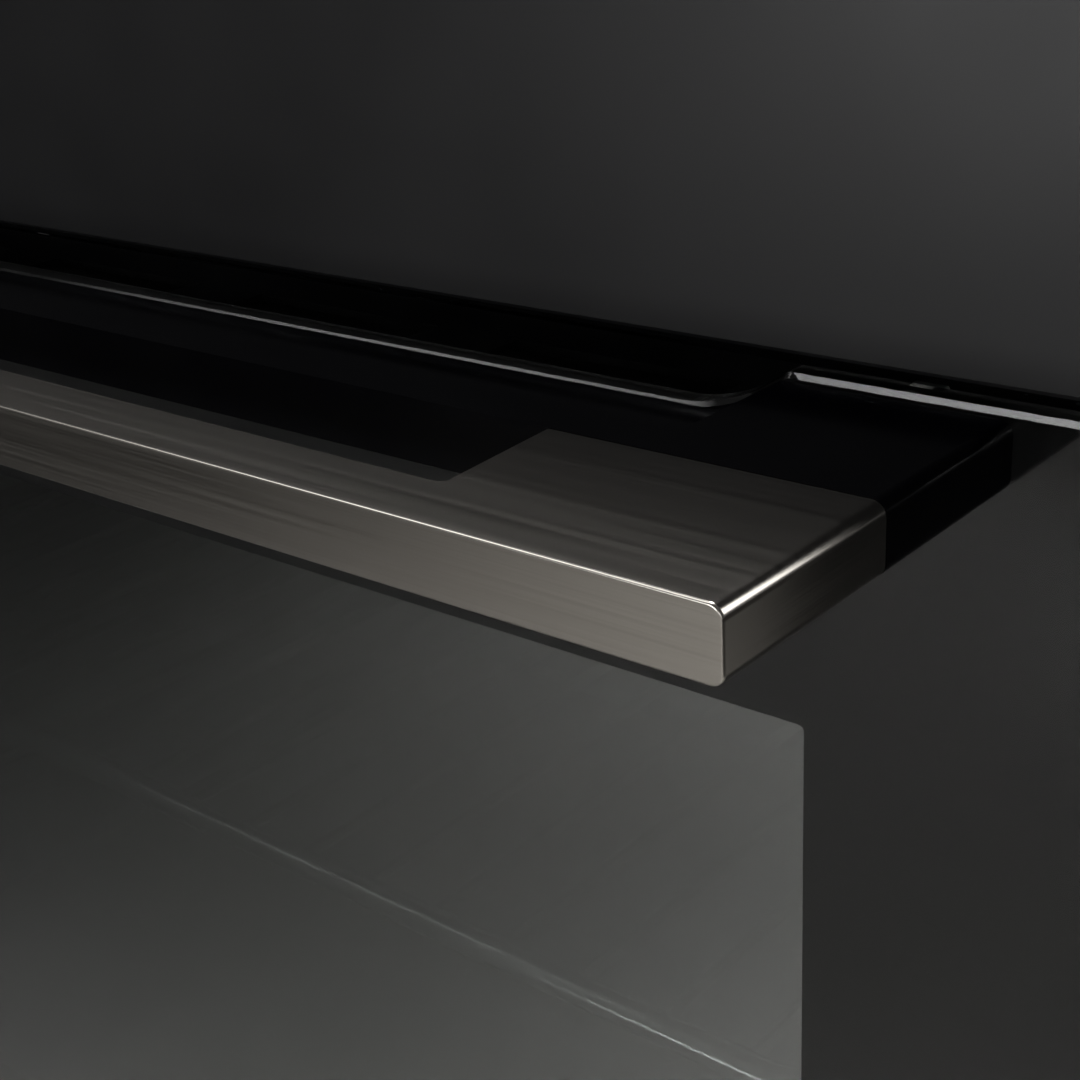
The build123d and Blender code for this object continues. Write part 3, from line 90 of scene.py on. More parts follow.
# Colour and nodes
def linear(colour):
    """An sRGB hex colour as linear red, green and blue."""
    parts = [int(colour[i:i + 2], 16) / 255 for i in (1, 3, 5)]
    return [c / 12.92 if c <= 0.04045 else ((c + 0.055) / 1.055) ** 2.4 for c in parts]


def tint(colour):
    """The same colour with full opacity, as a socket takes it."""
    return (*linear(colour), 1.0)


def add(owner, kind, inputs=None, **settings):
    """Adds a node: settings are its own, and each input takes a value or another node's output."""
    node = owner.node_tree.nodes.new(kind)
    for key, value in settings.items():
        setattr(node, key, value)
    for key, value in (inputs or {}).items():
        if isinstance(value, bpy.types.NodeSocket):
            owner.node_tree.links.new(value, node.inputs[key])
        else:
            node.inputs[key].default_value = value
    return node


# Studio: six lamps for the front and the handle, one for the housing's left side and one for its back
def softbox(name, place, target, width, height, watts, cone):
    """A cloth-fronted lamp aimed at a point, with a grid that keeps its light in a cone of degrees."""
    data = bpy.data.lights.new(name, "AREA")
    data.shape = "RECTANGLE"
    data.size, data.size_y = width, height
    data.energy = watts
    data.spread = math.radians(cone)
    lamp = bpy.data.objects.new(name, data)
    bpy.context.scene.collection.objects.link(lamp)
    lamp.visible_camera = False
    lamp.location = place
    lamp.rotation_mode = "QUATERNION"
    lamp.rotation_quaternion = (Vector(target) - Vector(place)).to_track_quat("-Z", "Y")


# Of each lamp: its place, the point it is aimed at, width and height in metres, watts, and cone in degrees
LAMPS = {
    "softbox_floor": ((0.07, -1.42, 1.15), (0.05, -1.36, 0.00), 0.4, 0.4, 3.9, 74.0),
    "softbox_front": ((1.00, -2.20, 0.60), (0.25, -0.40, 0.35), 1.0, 1.0, 1.2, 80.0),
    "softbox_low": ((-0.70, -2.90, 0.45), (0.20, -0.31, 0.54), 1.2, 0.7, 2.0, 38.0),
    "softbox_high": ((-0.08, 0.10, 1.52), (0.22, -0.33, 0.49), 0.5, 0.5, 1.7, 26.0),
    "softbox_left": ((-1.50, 1.00, 1.20), (-0.30, 0.25, 0.32), 0.5, 0.5, 3.4, 34.0),
    "softbox_rear": ((1.40, 1.35, 1.20), (0.10, 0.15, 0.40), 0.9, 0.9, 2.5, 70.0),
    "softbox_arris": ((-0.93, -0.98, 1.55), (0.00, -0.36, 0.50), 0.9, 0.8, 0.5, 36.0),
    "strip_over_handle": ((-0.07, -0.604, 1.25), (0.25, -0.314, 0.49), 0.36, 0.2, 0.12, 44.0),
}
for name, setting in LAMPS.items():
    softbox(name, *setting)

# Air: white to the camera, faint where glass and steel mirror it, and fainter still as light on things
AIR_LIGHT, AIR_MIRRORED = 0.03, 0.14
world = bpy.data.worlds.new("studio")
world.use_nodes = True
world.node_tree.nodes.clear()
ray = add(world, "ShaderNodeLightPath").outputs
either = {0: ray["Is Glossy Ray"], 1: ray["Is Transmission Ray"]}
mirrored = add(world, "ShaderNodeMath", either, operation="MAXIMUM").outputs[0]
level = add(world, "ShaderNodeMapRange", {"Value": mirrored, "To Min": AIR_LIGHT, "To Max": AIR_MIRRORED})
level = add(world, "ShaderNodeMath", {0: level.outputs["Result"], 1: ray["Is Camera Ray"]}, operation="MAXIMUM")
air = add(world, "ShaderNodeBackground", {"Color": tint("#ffffff"), "Strength": level.outputs[0]})
add(world, "ShaderNodeOutputWorld", {"Surface": air.outputs["Background"]})
bpy.context.scene.world = world
bpy.context.scene.view_settings.view_transform = "Standard"


# Materials
def material(name):
    """A material whose nodes are all still to be added."""
    made = bpy.data.materials.new(name)
    made.use_nodes = True
    made.node_tree.nodes.clear()
    return made


# Brush marks in features per metre: hairs 0.24 mm wide and 45 mm long, bands 1.1 mm wide and 110 mm long
HAIR_ACROSS, HAIR_ALONG = 4200.0, 22.0
BAND_ACROSS, BAND_ALONG = 900.0, 9.0


def brushed_stainless(name, dark, light, rough_low, rough_high, along, depth):
    """Stainless steel ground along one axis: fine long streaks that spread its highlights across them."""
    steel = material(name)
    fine, coarse = [HAIR_ACROSS] * 3, [BAND_ACROSS] * 3
    fine[along], coarse[along] = HAIR_ALONG, BAND_ALONG
    where = add(steel, "ShaderNodeTexCoord").outputs["Object"]
    fine_place = add(steel, "ShaderNodeMapping", {"Vector": where, "Scale": fine}).outputs["Vector"]
    coarse_place = add(steel, "ShaderNodeMapping", {"Vector": where, "Scale": coarse}).outputs["Vector"]
    hair = add(steel, "ShaderNodeTexNoise", {"Vector": fine_place, "Scale": 1.0, "Detail": 3.0}).outputs["Fac"]
    band = add(steel, "ShaderNodeTexNoise", {"Vector": coarse_place, "Scale": 1.0, "Detail": 2.0}).outputs["Fac"]
    both = add(steel, "ShaderNodeMix", {"Factor": 0.45, "A": hair, "B": band}).outputs["Result"]
    both = add(steel, "ShaderNodeMapRange", {"Value": both, "From Min": 0.32, "From Max": 0.68}).outputs["Result"]
    tone = add(steel, "ShaderNodeMix", {0: both, 6: tint(dark), 7: tint(light)}, data_type="RGBA").outputs[2]
    rough = add(steel, "ShaderNodeMapRange", {"Value": both, "To Min": rough_low, "To Max": rough_high})
    bump = add(steel, "ShaderNodeBump", {"Height": hair, "Strength": depth, "Distance": 0.02 * MM})
    shader = add(steel, "ShaderNodeBsdfPrincipled", {
        "Base Color": tone,
        "Metallic": 1.0,
        "Roughness": rough.outputs["Result"],
        "Normal": bump.outputs["Normal"],
    })
    add(steel, "ShaderNodeOutputMaterial", {"Surface": shader.outputs["BSDF"]})
    return steel


# Dark warm stainless steel, finely brushed along the handle: a soft metal sheen with long faint streaks
handle_steel = brushed_stainless("brushed_stainless_steel", "#938f89", "#a09c96", 0.18, 0.26, 0, 0.08)
# The same bar's sawn and brushed ends, where the streaks run back from the front
handle_end_steel = brushed_stainless("brushed_stainless_steel_end", "#938f89", "#a09c96", 0.18, 0.26, 1, 0.08)
# Plain cold-rolled stainless steel of rails, screws and plates: paler and a little duller
plain_steel = brushed_stainless("rolled_stainless_steel", "#a2a19e", "#bab9b5", 0.26, 0.38, 1, 0.25)


def galvanised_sheet():
    """Hot-dip galvanised sheet: pale grey with flat crystals of zinc about 12 mm across."""
    sheet = material("galvanised_steel_sheet")
    where = add(sheet, "ShaderNodeTexCoord").outputs["Object"]
    bend = add(sheet, "ShaderNodeTexNoise", {"Vector": where, "Scale": 60.0, "Detail": 2.0}).outputs["Color"]
    small = add(sheet, "ShaderNodeVectorMath", {0: bend, 3: 6 * MM}, operation="SCALE").outputs["Vector"]
    moved = add(sheet, "ShaderNodeVectorMath", {0: where, 1: small}, operation="ADD").outputs["Vector"]
    crystal = add(sheet, "ShaderNodeTexVoronoi", {"Vector": moved, "Scale": 85.0}).outputs["Color"]
    grey = add(sheet, "ShaderNodeSeparateColor", {"Color": crystal}).outputs["Red"]
    light, dark = tint("#b6b9bb"), tint("#a6aaad")
    tone = add(sheet, "ShaderNodeMix", {0: grey, 6: dark, 7: light}, data_type="RGBA").outputs[2]
    rough = add(sheet, "ShaderNodeMapRange", {"Value": grey, "To Min": 0.40, "To Max": 0.47})
    shader = add(sheet, "ShaderNodeBsdfPrincipled", {
        "Base Color": tone,
        "Metallic": 1.0,
        "Roughness": rough.outputs["Result"],
    })
    add(sheet, "ShaderNodeOutputMaterial", {"Surface": shader.outputs["BSDF"]})
    return sheet


zinc_sheet = galvanised_sheet()


def fired_enamel():
    """Fired enamel: glossy dark grey with pin-head flecks and the soft ripple of a melted glaze."""
    enamel = material("fired_grey_enamel")
    where = add(enamel, "ShaderNodeTexCoord").outputs["Object"]
    fleck = add(enamel, "ShaderNodeTexVoronoi", {"Vector": where, "Scale": 420.0}).outputs
    near = add(enamel, "ShaderNodeMath", {0: fleck["Distance"], 1: 0.16}, operation="LESS_THAN").outputs[0]
    some = add(enamel, "ShaderNodeSeparateColor", {"Color": fleck["Color"]}).outputs["Red"]
    some = add(enamel, "ShaderNodeMath", {0: some, 1: 0.62}, operation="GREATER_THAN").outputs[0]
    spot = add(enamel, "ShaderNodeMath", {0: near, 1: some}, operation="MULTIPLY").outputs[0]
    wave = add(enamel, "ShaderNodeTexNoise", {"Vector": where, "Scale": 260.0, "Detail": 2.0}).outputs["Fac"]
    ripple = add(enamel, "ShaderNodeBump", {"Height": wave, "Strength": 0.25, "Distance": 0.2 * MM})
    ground, speck = tint("#26272b"), tint("#8b9098")
    tone = add(enamel, "ShaderNodeMix", {0: spot, 6: ground, 7: speck}, data_type="RGBA").outputs[2]
    rough = add(enamel, "ShaderNodeMapRange", {"Value": wave, "To Min": 0.12, "To Max": 0.24})
    shader = add(enamel, "ShaderNodeBsdfPrincipled", {
        "Base Color": tone,
        "Roughness": rough.outputs["Result"],
        "IOR": 1.52,
        "Normal": ripple.outputs["Normal"],
    })
    add(enamel, "ShaderNodeOutputMaterial", {"Surface": shader.outputs["BSDF"]})
    return enamel


dark_enamel = fired_enamel()


ROUGH_DRIFT = 0.06


def grained(name, dark, light, rough, grain, depth, ior=1.5, metallic=0.0):
    """A matt or satin finish with a fine even grain: its size is given in features per metre."""
    finish = material(name)
    where = add(finish, "ShaderNodeTexCoord").outputs["Object"]
    speck = add(finish, "ShaderNodeTexNoise", {"Vector": where, "Scale": grain, "Detail": 3.0}).outputs["Fac"]
    cloud = add(finish, "ShaderNodeTexNoise", {"Vector": where, "Scale": 18.0, "Detail": 2.0}).outputs["Fac"]
    both = add(finish, "ShaderNodeMix", {"Factor": 0.4, "A": speck, "B": cloud}).outputs["Result"]
    both = add(finish, "ShaderNodeMapRange", {"Value": both, "From Min": 0.3, "From Max": 0.7}).outputs["Result"]
    tone = add(finish, "ShaderNodeMix", {0: both, 6: tint(dark), 7: tint(light)}, data_type="RGBA").outputs[2]
    low, high = rough - ROUGH_DRIFT, rough + ROUGH_DRIFT
    spread = add(finish, "ShaderNodeMapRange", {"Value": both, "To Min": low, "To Max": high})
    bump = add(finish, "ShaderNodeBump", {"Height": speck, "Strength": depth, "Distance": 0.1 * MM})
    shader = add(finish, "ShaderNodeBsdfPrincipled", {
        "Base Color": tone,
        "Metallic": metallic,
        "Roughness": spread.outputs["Result"],
        "IOR": ior,
        "Normal": bump.outputs["Normal"],
    })
    add(finish, "ShaderNodeOutputMaterial", {"Surface": shader.outputs["BSDF"]})
    return finish


# Black powder coat, satin with an orange-peel grain of about 0.5 mm
black_paint = grained("black_powder_coat", "#0d0d0e", "#161617", 0.42, 2000.0, 0.4)
# Moulded black plastic with a fine spark-eroded grain
black_plastic = grained("moulded_black_plastic", "#0e0e10", "#17171a", 0.5, 2600.0, 0.5)
# Moulded grey plastic of terminal and switch housings
grey_plastic = grained("moulded_grey_plastic", "#8a8c8e", "#9b9d9f", 0.48, 2600.0, 0.4)
# Heat-proof silicone seal: dull black, slightly dusty
seal_rubber = grained("heat_proof_silicone", "#141415", "#222223", 0.72, 1500.0, 0.6, ior=1.43)
# Oxidised alloy tube of a heating element: matt brown-black with faint blue and straw stains
element_steel = grained("oxidised_heating_tube", "#2b2622", "#4b4540", 0.46, 700.0, 0.4, metallic=0.85)
# Painted laminations and end covers of a small motor
motor_grey = grained("motor_laminations", "#4a4c50", "#63656a", 0.45, 900.0, 0.4, metallic=0.6)


def black_gloss(name, dark, light, rough_low, rough_high, ior, ripple):
    """A black face with a clean or satin gloss: its tone and gloss drift a little over a few centimetres."""
    gloss = material(name)
    where = add(gloss, "ShaderNodeTexCoord").outputs["Object"]
    wave = add(gloss, "ShaderNodeTexNoise", {"Vector": where, "Scale": ripple, "Detail": 3.0}).outputs["Fac"]
    wave = add(gloss, "ShaderNodeMapRange", {"Value": wave, "From Min": 0.3, "From Max": 0.7}).outputs["Result"]
    tone = add(gloss, "ShaderNodeMix", {0: wave, 6: tint(dark), 7: tint(light)}, data_type="RGBA").outputs[2]
    rough = add(gloss, "ShaderNodeMapRange", {"Value": wave, "To Min": rough_low, "To Max": rough_high})
    shader = add(gloss, "ShaderNodeBsdfPrincipled", {
        "Base Color": tone,
        "Roughness": rough.outputs["Result"],
        "IOR": ior,
    })
    add(gloss, "ShaderNodeOutputMaterial", {"Surface": shader.outputs["BSDF"]})
    return gloss


# Gloss black moulding: nearly black, with reflections so weak that its shape hardly shows
handle_black = black_gloss("gloss_black_moulding", "#020204", "#040406", 0.16, 0.24, 1.2, 90.0)
# Satin black glass of the fascia: a soft grey sheen that blurs what stands before it
panel_glass = black_gloss("satin_black_glass", "#121213", "#151516", 0.34, 0.40, 1.25, 30.0)
# Black ceramic colour fired into the back of the pane: dull, so that the glass before it looks deep
black_print = black_gloss("fired_ceramic_print", "#0b0b0b", "#0e0e0e", 0.50, 0.60, 1.18, 60.0)


def clear_glass(name, colour, rough, ior):
    """Clear soda-lime glass that lets lamps through to what lies behind it."""
    glass = material(name)
    body = add(glass, "ShaderNodeBsdfPrincipled", {
        "Base Color": tint(colour),
        "Roughness": rough,
        "IOR": ior,
        "Transmission Weight": 1.0,
    })
    shadow = add(glass, "ShaderNodeLightPath").outputs["Is Shadow Ray"]
    through = add(glass, "ShaderNodeBsdfTransparent", {"Color": tint(colour)})
    mixed = add(glass, "ShaderNodeMixShader", {0: shadow, 1: body.outputs["BSDF"], 2: through.outputs["BSDF"]})
    add(glass, "ShaderNodeOutputMaterial", {"Surface": mixed.outputs["Shader"]})
    return glass


# Coated float glass of the outer pane: nearly colourless, and its coating keeps reflections weak
outer_glass = clear_glass("coated_float_glass", "#eef0f0", 0.0, 1.34)
# Float glass of the two panes behind, whose heat-reflecting coating makes it a stronger mirror
pane_glass = clear_glass("clear_float_glass", "#ecedec", 0.0, 1.8)
# The inner pane: the same coating over grey glass, so that the dark cavity hardly shows from outside
inner_glass = clear_glass("grey_coated_glass", "#bcbebd", 0.0, 1.9)
# Pressed glass of the lamp cap and bulb
lamp_pressed_glass = clear_glass("pressed_lamp_glass", "#f4f4f0", 0.08, 1.5)


def bright_plating():
    """Bright nickel-chrome plating on drawn wire: clean highlights with a trace of drawing marks."""
    plate = material("bright_plated_wire")
    where = add(plate, "ShaderNodeTexCoord").outputs["Object"]
    wave = add(plate, "ShaderNodeTexNoise", {"Vector": where, "Scale": 300.0, "Detail": 2.0}).outputs["Fac"]
    dark, light = tint("#a8a8a6"), tint("#bababa")
    tone = add(plate, "ShaderNodeMix", {0: wave, 6: dark, 7: light}, data_type="RGBA").outputs[2]
    rough = add(plate, "ShaderNodeMapRange", {"Value": wave, "To Min": 0.14, "To Max": 0.24})
    shader = add(plate, "ShaderNodeBsdfPrincipled", {
        "Base Color": tone,
        "Metallic": 1.0,
        "Roughness": rough.outputs["Result"],
    })
    add(plate, "ShaderNodeOutputMaterial", {"Surface": shader.outputs["BSDF"]})
    return plate


plated_wire = bright_plating()


def glass_wool():
    """Glass-fibre mat: cream, matt and clumped, with crossing fibres a few millimetres long."""
    wool = material("glass_fibre_mat")
    where = add(wool, "ShaderNodeTexCoord").outputs["Object"]
    lay = add(wool, "ShaderNodeMapping", {"Vector": where, "Scale": (260, 1900, 900)}).outputs["Vector"]
    clump = add(wool, "ShaderNodeTexNoise", {"Vector": where, "Scale": 70.0, "Detail": 4.0}).outputs["Fac"]
    fibre = add(wool, "ShaderNodeTexNoise", {"Vector": lay, "Scale": 1.0, "Distortion": 1.5}).outputs["Fac"]
    both = add(wool, "ShaderNodeMix", {"Factor": 0.5, "A": clump, "B": fibre}).outputs["Result"]
    both = add(wool, "ShaderNodeMapRange", {"Value": both, "From Min": 0.3, "From Max": 0.7}).outputs["Result"]
    dark, light = tint("#b3a98e"), tint("#e2dccb")
    tone = add(wool, "ShaderNodeMix", {0: both, 6: dark, 7: light}, data_type="RGBA").outputs[2]
    bump = add(wool, "ShaderNodeBump", {"Height": both, "Strength": 0.9, "Distance": 2 * MM})
    shader = add(wool, "ShaderNodeBsdfPrincipled", {
        "Base Color": tone,
        "Roughness": 0.95,
        "Normal": bump.outputs["Normal"],
    })
    add(wool, "ShaderNodeOutputMaterial", {"Surface": shader.outputs["BSDF"]})
    return wool


lagging = glass_wool()


def circuit_board():
    """Glass-epoxy board under green solder resist, with copper tracks showing as paler bands."""
    made = material("green_circuit_board")
    where = add(made, "ShaderNodeTexCoord").outputs["Object"]
    track = add(made, "ShaderNodeTexBrick", {
        "Vector": where,
        "Scale": 120.0,
        "Mortar Size": 0.05,
        "Color1": tint("#12432a"),
        "Color2": tint("#174d31"),
        "Mortar": tint("#2b7348"),
    })
    shader = add(made, "ShaderNodeBsdfPrincipled", {"Base Color": track.outputs["Color"], "Roughness": 0.32})
    add(made, "ShaderNodeOutputMaterial", {"Surface": shader.outputs["BSDF"]})
    return made


board = circuit_board()

finish_of = {
    "zinc_sheet": zinc_sheet,
    "dark_enamel": dark_enamel,
    "black_paint": black_paint,
    "clear_glass": pane_glass,
    "panel_glass": panel_glass,
    "black_print": black_print,
    "handle_steel": handle_steel,
    "handle_black": handle_black,
    "plated_wire": plated_wire,
    "plain_steel": plain_steel,
    "element_steel": element_steel,
    "seal_rubber": seal_rubber,
    "lagging": lagging,
    "board": board,
    "black_plastic": black_plastic,
    "grey_plastic": grey_plastic,
    "motor_grey": motor_grey,
}
glass_of = {"lamp_glass": lamp_pressed_glass, "lamp_bulb": lamp_pressed_glass, "door_glass_inner": inner_glass}
slot_of = {part["node"]: part["material_slot"] for part in frame["record"]["subparts"]}
body_of = {node: body for body, nodes in frame["record"]["behaviour"]["bodies"].items() for node in nodes}

for name, thing in frame["nodes"].items():
    for holder in thing.material_slots:
        holder.material = glass_of.get(name, finish_of[slot_of[name]])


# Modelling
def only(thing):
    """Leaves one object selected and active."""
    if bpy.context.object and bpy.context.object.mode != "OBJECT":
        bpy.ops.object.mode_set(mode="OBJECT")
    bpy.ops.object.select_all(action="DESELECT")
    thing.select_set(True)
    bpy.context.view_layer.objects.active = thing


def block(name, low, high):
    """A cuboid between two corners in metres."""
    bpy.ops.object.select_all(action="DESELECT")
    low, high = Vector(low), Vector(high)
    bpy.ops.mesh.primitive_cube_add(size=1, location=(low + high) / 2)
    thing = bpy.context.object
    thing.name = name
    thing.scale = high - low
    bpy.ops.object.transform_apply(location=True, rotation=True, scale=True)
    return thing


def choose(thing, kind, test):
    """Opens a piece in edit mode with only the vertices, edges or faces selected that pass a test."""
    only(thing)
    bpy.ops.object.mode_set(mode="EDIT")
    bpy.ops.mesh.select_mode(type=kind)
    bpy.ops.mesh.select_all(action="DESELECT")
    mesh = bmesh.from_edit_mesh(thing.data)
    for part in {"VERT": mesh.verts, "EDGE": mesh.edges, "FACE": mesh.faces}[kind]:
        if test(part):
            part.select_set(True)
    mesh.select_flush_mode()
    bmesh.update_edit_mesh(thing.data)


def done():
    """Back to object mode."""
    bpy.ops.object.mode_set(mode="OBJECT")


def along(edge, axis):
    """True if an edge runs along an axis."""
    run = edge.verts[1].co - edge.verts[0].co
    return abs(run[axis]) > 0.999 * run.length > 0


def rounded(thing, test, radius, segments):
    """Rounds the edges that pass a test."""
    choose(thing, "EDGE", test)
    bpy.ops.mesh.bevel(offset=radius, segments=segments, profile=0.5, affect="EDGES", clamp_overlap=True)
    done()


def changed(thing, kind, **settings):
    """Adds a modifier and applies it."""
    only(thing)
    modifier = thing.modifiers.new(kind.lower(), kind)
    for key, value in settings.items():
        setattr(modifier, key, value)
    bpy.ops.object.modifier_apply(modifier=modifier.name)


def cut(thing, tool):
    """Takes a tool's shape out of a piece and throws the tool away."""
    changed(thing, "BOOLEAN", operation="DIFFERENCE", solver="EXACT", object=tool)
    bpy.data.objects.remove(tool)


def smoothed(thing, degrees=35.0):
    """Smooth shading, with edges sharper than an angle left crisp and flat faces kept flat."""
    only(thing)
    bpy.ops.object.shade_smooth_by_angle(angle=math.radians(degrees))
    changed(thing, "WEIGHTED_NORMAL", keep_sharp=True)


def finished(thing, body, finish, node):
    """Gives a piece its finish unless it has one, hangs it on its body, and hides the CAD node that it takes the
    place of.
    """
    if not thing.data.materials:
        thing.data.materials.append(finish)
    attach(thing, body)
    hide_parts(node)


# Outer door pane: a rectangle whose top edge dips by two arcs and a short slope at each side
pane_low, pane_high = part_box("door_glass_outer")
print_low, print_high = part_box("door_border_print")
bar_low, bar_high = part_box("handle_bar")
base_low, base_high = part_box("handle_base")
DIP_CORNER = bar_high.x - 27.892 * MM
DIP_RUN, DIP_DROP = 9.085 * MM, 5.9 * MM
# How far each arc starts before its corner: radii of 2 mm above and 20 mm below, on a slope of 33 degrees
DIP_TOP_ARC, DIP_LOW_ARC = 0.592 * MM, 5.924 * MM
PANE_CORNER, FRONT_ARRIS, REAR_ARRIS = 2.5 * MM, 0.6 * MM, 0.3 * MM


def dipped_sheet(name, low, high):
    """A flat sheet in front view whose top edge dips, with round corners where the dip starts and ends."""
    bpy.ops.object.select_all(action="DESELECT")
    middle = ((low.x + high.x) / 2, low.y, (low.z + high.z) / 2)
    bpy.ops.mesh.primitive_plane_add(size=1, rotation=(math.pi / 2, 0, 0), location=middle)
    sheet = bpy.context.object
    sheet.name = name
    sheet.scale = (high.x - low.x, high.z - low.z, 1)
    bpy.ops.object.transform_apply(location=True, rotation=True, scale=True)
    for x in (-DIP_CORNER, -DIP_CORNER + DIP_RUN, DIP_CORNER - DIP_RUN, DIP_CORNER):
        choose(sheet, "FACE", lambda part: True)
        bpy.ops.mesh.bisect(plane_co=(x, 0, 0), plane_no=(1, 0, 0))
        done()
    inner = DIP_CORNER - DIP_RUN + NEAR
    choose(sheet, "VERT", lambda v: abs(v.co.x) < inner and v.co.z > high.z - NEAR)
    bpy.ops.transform.translate(value=(0, 0, -DIP_DROP))
    done()
    edge_low = high.z - DIP_DROP - NEAR
    for x, arc, segments in ((DIP_CORNER, DIP_TOP_ARC, 8), (DIP_CORNER - DIP_RUN, DIP_LOW_ARC, 16)):
        choose(sheet, "VERT", lambda v: v.co.z > edge_low and abs(abs(v.co.x) - x) < NEAR)
        bpy.ops.mesh.bevel(offset=arc, segments=segments, affect="VERTICES", clamp_overlap=False)
        done()
    choose(sheet, "FACE", lambda part: True)
    bpy.ops.mesh.dissolve_limited(angle_limit=math.radians(0.5), use_dissolve_boundaries=False)
    done()
    return sheet


def thickened(sheet, depth):
    """Makes a flat sheet in front view a plate by pushing it back, with its faces turned outwards."""
    choose(sheet, "FACE", lambda part: True)
    bpy.ops.mesh.extrude_region_move(TRANSFORM_OT_translate={"value": (0, depth, 0)})
    bpy.ops.mesh.select_all(action="SELECT")
    bpy.ops.mesh.normals_make_consistent(inside=False)
    done()


# The window as the eye sees it through the pane: 1.4 mm narrower at each side and 1.5 mm lower than in the CAD
WINDOW_INSET, WINDOW_BELOW, WINDOW_HEIGHT, WINDOW_CORNER = 26.8 * MM, 45.7 * MM, 318 * MM, 0.8 * MM
PRINT_BITE = 0.02 * MM


def printed_border():
    """The opaque border fired on the back of the pane, let 0.02 mm into the glass so that no air lies between."""
    sheet = dipped_sheet("door_printed_border", print_low, print_high)
    thickened(sheet, print_high.y - print_low.y)
    choose(sheet, "VERT", lambda v: v.co.y < print_low.y + NEAR)
    bpy.ops.transform.translate(value=(0, -PRINT_BITE, 0))
    done()
    half, top = bar_high.x - WINDOW_INSET, bar_high.z - WINDOW_BELOW
    low, high = (-half, print_low.y - PAST, top - WINDOW_HEIGHT), (half, print_high.y + PAST, top)
    window = block("window_tool", low, high)
    rounded(window, lambda edge: along(edge, 1), WINDOW_CORNER, 4)
    cut(sheet, window)
    finished(sheet, "door", black_print, "door_border_print")


printed_border()


def door_pane():
    """The outer pane: 4 mm toughened glass with its dipped top edge, round corners and ground front arris."""
    sheet = dipped_sheet("door_glass_pane", pane_low, pane_high)
    thickened(sheet, pane_high.y - pane_low.y)
    outmost = pane_high.x - NEAR
    rounded(sheet, lambda edge: along(edge, 1) and abs(edge.verts[0].co.x) > outmost, PANE_CORNER, 6)
    choose(sheet, "EDGE", lambda edge: all(v.co.y < pane_low.y + TOUCHING for v in edge.verts))
    bpy.ops.mesh.bevel(offset=FRONT_ARRIS, segments=1, affect="EDGES", clamp_overlap=False)
    done()
    choose(sheet, "EDGE", lambda edge: all(v.co.y > pane_high.y - TOUCHING for v in edge.verts))
    bpy.ops.mesh.bevel(offset=REAR_ARRIS, segments=1, affect="EDGES", clamp_overlap=False)
    done()
    smoothed(sheet, 30.0)
    finished(sheet, "door", outer_glass, "door_glass_outer")


door_pane()


# Handle
HANDLE_CORNER, HANDLE_ARRIS = 1.6 * MM, 0.32 * MM
GRIP_DEPTH, END_BLOCK, SLOT_SPLAY, SLOT_CORNER = 9.25 * MM, 40 * MM, 1.4 * MM, 0.8 * MM
SCOOP_START, SCOOP_FALL, SLAB_FLOOR = 6 * MM, 5.5 * MM, 1 * MM
END_FACING = 0.8        # how far sideways a face looks to count as an end


def handle_grip():
    """The flat steel bar: a grip between two end blocks, with round corners and finely broken edges."""
    bar = block("handle_steel_bar", bar_low, bar_high)
    rounded(bar, lambda edge: along(edge, 1), HANDLE_CORNER, 10)
    half, y_grip = bar_high.x - END_BLOCK, bar_low.y + GRIP_DEPTH
    slot = block("slot_tool", (-half, y_grip, bar_low.z - PAST), (half, bar_high.y + 1 * MM, bar_high.z + PAST))
    choose(slot, "VERT", lambda v: v.co.y > bar_high.y)
    bpy.ops.transform.resize(value=(1 - SLOT_SPLAY / half, 1, 1), center_override=(0, 0, 0))
    done()
    rounded(slot, lambda edge: along(edge, 2) and edge.verts[0].co.y < y_grip + NEAR, SLOT_CORNER, 4)
    cut(bar, slot)
    sharp = math.radians(40)
    changed(bar, "BEVEL", width=HANDLE_ARRIS, segments=4, limit_method="ANGLE", angle_limit=sharp,
            use_clamp_overlap=False)
    smoothed(bar, 50.0)
    bar.data.materials.append(handle_steel)
    bar.data.materials.append(handle_end_steel)
    for face in bar.data.polygons:
        face.material_index = int(abs(face.normal.x) > END_FACING)
    finished(bar, "door", handle_steel, "handle_bar")


handle_grip()


def handle_slab():
    """The gloss black slab between bar and glass, rolled down on top into the dip of the glass."""
    slab = block("handle_black_slab", base_low, base_high)
    rounded(slab, lambda edge: along(edge, 1), HANDLE_CORNER, 10)
    start, fall = base_low.y + SCOOP_START, SCOOP_FALL
    run = base_high.y - start
    radius = (run * run + fall * fall) / (2 * fall)
    low = (base_low.x - 1 * MM, start, base_low.z + SLAB_FLOOR)
    high = (base_high.x + 1 * MM, base_high.y + 1 * MM, base_high.z + 2 * MM)
    scoop = block("scoop_tool", low, high)
    middle, lying = (0, start, base_high.z - radius), (0, math.pi / 2, 0)
    bpy.ops.mesh.primitive_cylinder_add(vertices=360, radius=radius, depth=0.6, location=middle, rotation=lying)
    roll = bpy.context.object
    bpy.ops.object.transform_apply(location=True, rotation=True, scale=True)
    cut(scoop, roll)
    low = Vector((pane_low.x, base_low.y - PAST, base_low.z - PAST))
    high = Vector((pane_high.x, base_high.y + 2 * PAST, pane_high.z - FRONT_ARRIS))
    under = dipped_sheet("under_tool", low, high)
    thickened(under, 60 * MM)
    cut(scoop, under)
    cut(slab, scoop)
    smoothed(slab, 25.0)
    finished(slab, "door", handle_black, "handle_base")


handle_slab()


